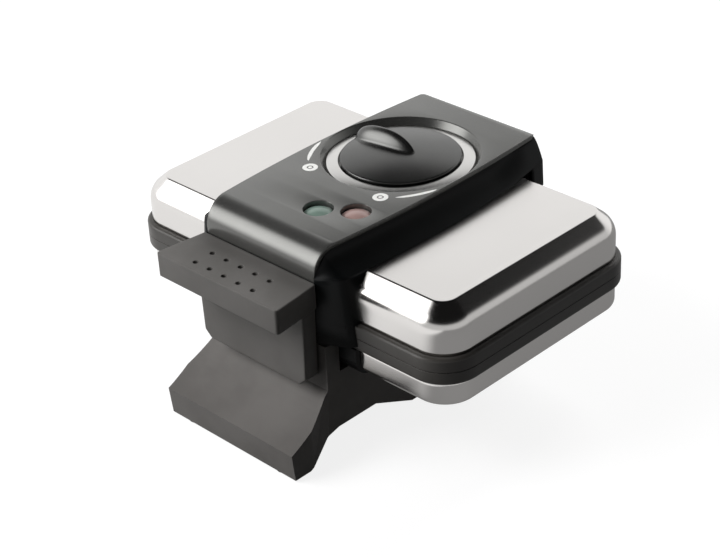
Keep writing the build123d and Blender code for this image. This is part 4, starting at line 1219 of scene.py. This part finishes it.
def light_path(s, kind):
    """1 for rays of one kind and 0 for the others."""
    return s.node("ShaderNodeLightPath", {}, {}, kind)


def make_stage():
    """A wide pale floor under a white background; for reflected rays it glows, with a painted pool
    of light at the front left that the steel mirrors.
    """
    mesh = bpy.data.meshes.new("floor")
    corners = np.array([(-1, -1, 0), (1, -1, 0), (1, 1, 0), (-1, 1, 0)]) * FLOOR_HALF
    mesh.from_pydata(corners.tolist(), [], [(0, 1, 2, 3)])
    floor = bpy.data.objects.new("floor", mesh)
    bpy.context.scene.collection.objects.link(floor)
    s = new_shader("pale_floor")
    seen = light_path(s, "Is Camera Ray")
    glossy = light_path(s, "Is Glossy Ray")
    x, y, z = s.axes(s.place())
    # painted pool of light on the floor, brighter towards the front left, seen only by reflected
    # rays
    painted_pool = ((x + y) * -0.7).smooth(*PAINTED_POOL_SOFT)
    paleness = FLOOR_BOUNCE + (FLOOR_SEEN - FLOOR_BOUNCE) * seen
    matte = s.add("ShaderNodeBsdfDiffuse", {}, {"Color": paleness})
    strength = FLOOR_GLOW * seen + glossy * (PAINTED_POOL_DIM + (PAINTED_POOL_BRIGHT - PAINTED_POOL_DIM) * painted_pool)
    glow = s.add("ShaderNodeEmission", {}, {"Color": (1, 1, 1, 1), "Strength": strength})
    both = s.add("ShaderNodeAddShader", {}, {})
    s.tree.links.new(matte.outputs[0], both.inputs[0])
    s.tree.links.new(glow.outputs[0], both.inputs[1])
    output = s.add("ShaderNodeOutputMaterial", {}, {})
    s.tree.links.new(both.outputs[0], output.inputs[0])
    mesh.materials.append(bpy.data.materials["pale_floor"])


def make_world():
    """White low down all round, a dark ceiling, and a large soft light at the front left."""
    world = bpy.data.worlds.new("studio")
    world.use_nodes = True
    bpy.context.scene.world = world
    s = Shader(world.node_tree)
    x, y, z = s.axes(s.node("ShaderNodeTexCoord", {}, {}, "Generated"))
    behind = (y * 0.69 - x * 0.72).smooth(-0.1, 0.6)
    edge = CEILING_EDGE + CEILING_EDGE_BEHIND * behind
    low_white = 1.0 - (z - edge).smooth(*CEILING_SOFT)
    key = (x * KEY_TOWARDS[0] + y * KEY_TOWARDS[1] + z * KEY_TOWARDS[2]).smooth(*KEY_SOFT)
    level = CEILING_LEVEL + low_white * (WALLS_LEVEL + WALLS_LEVEL_BEHIND * behind) + key * KEY_LEVEL
    seen = light_path(s, "Is Camera Ray")
    glossy = light_path(s, "Is Glossy Ray")
    strength = seen + (1.0 - seen) * (glossy * level + (1.0 - glossy) * AMBIENT)
    back = s.add("ShaderNodeBackground", {}, {"Color": (1, 1, 1, 1), "Strength": strength})
    output = s.add("ShaderNodeOutputWorld", {}, {})
    s.tree.links.new(back.outputs[0], output.inputs[0])


def area_light(name, place, aim, size, power):
    """A soft square lamp that shines towards a point and isn't mirrored in the surfaces."""
    data = bpy.data.lights.new(name, "AREA")
    data.shape = "SQUARE"
    data.size = size
    data.energy = power
    lamp = bpy.data.objects.new(name, data)
    lamp.location = place
    direction = Vector(aim) - Vector(place)
    lamp.rotation_euler = direction.to_track_quat("-Z", "Y").to_euler()
    lamp.visible_glossy = False
    bpy.context.scene.collection.objects.link(lamp)


make_stage()
make_world()
for name, (place, aim, size, power) in LAMPS.items():
    area_light(name, place, aim, size, power)

bpy.context.scene.view_settings.view_transform = "Standard"
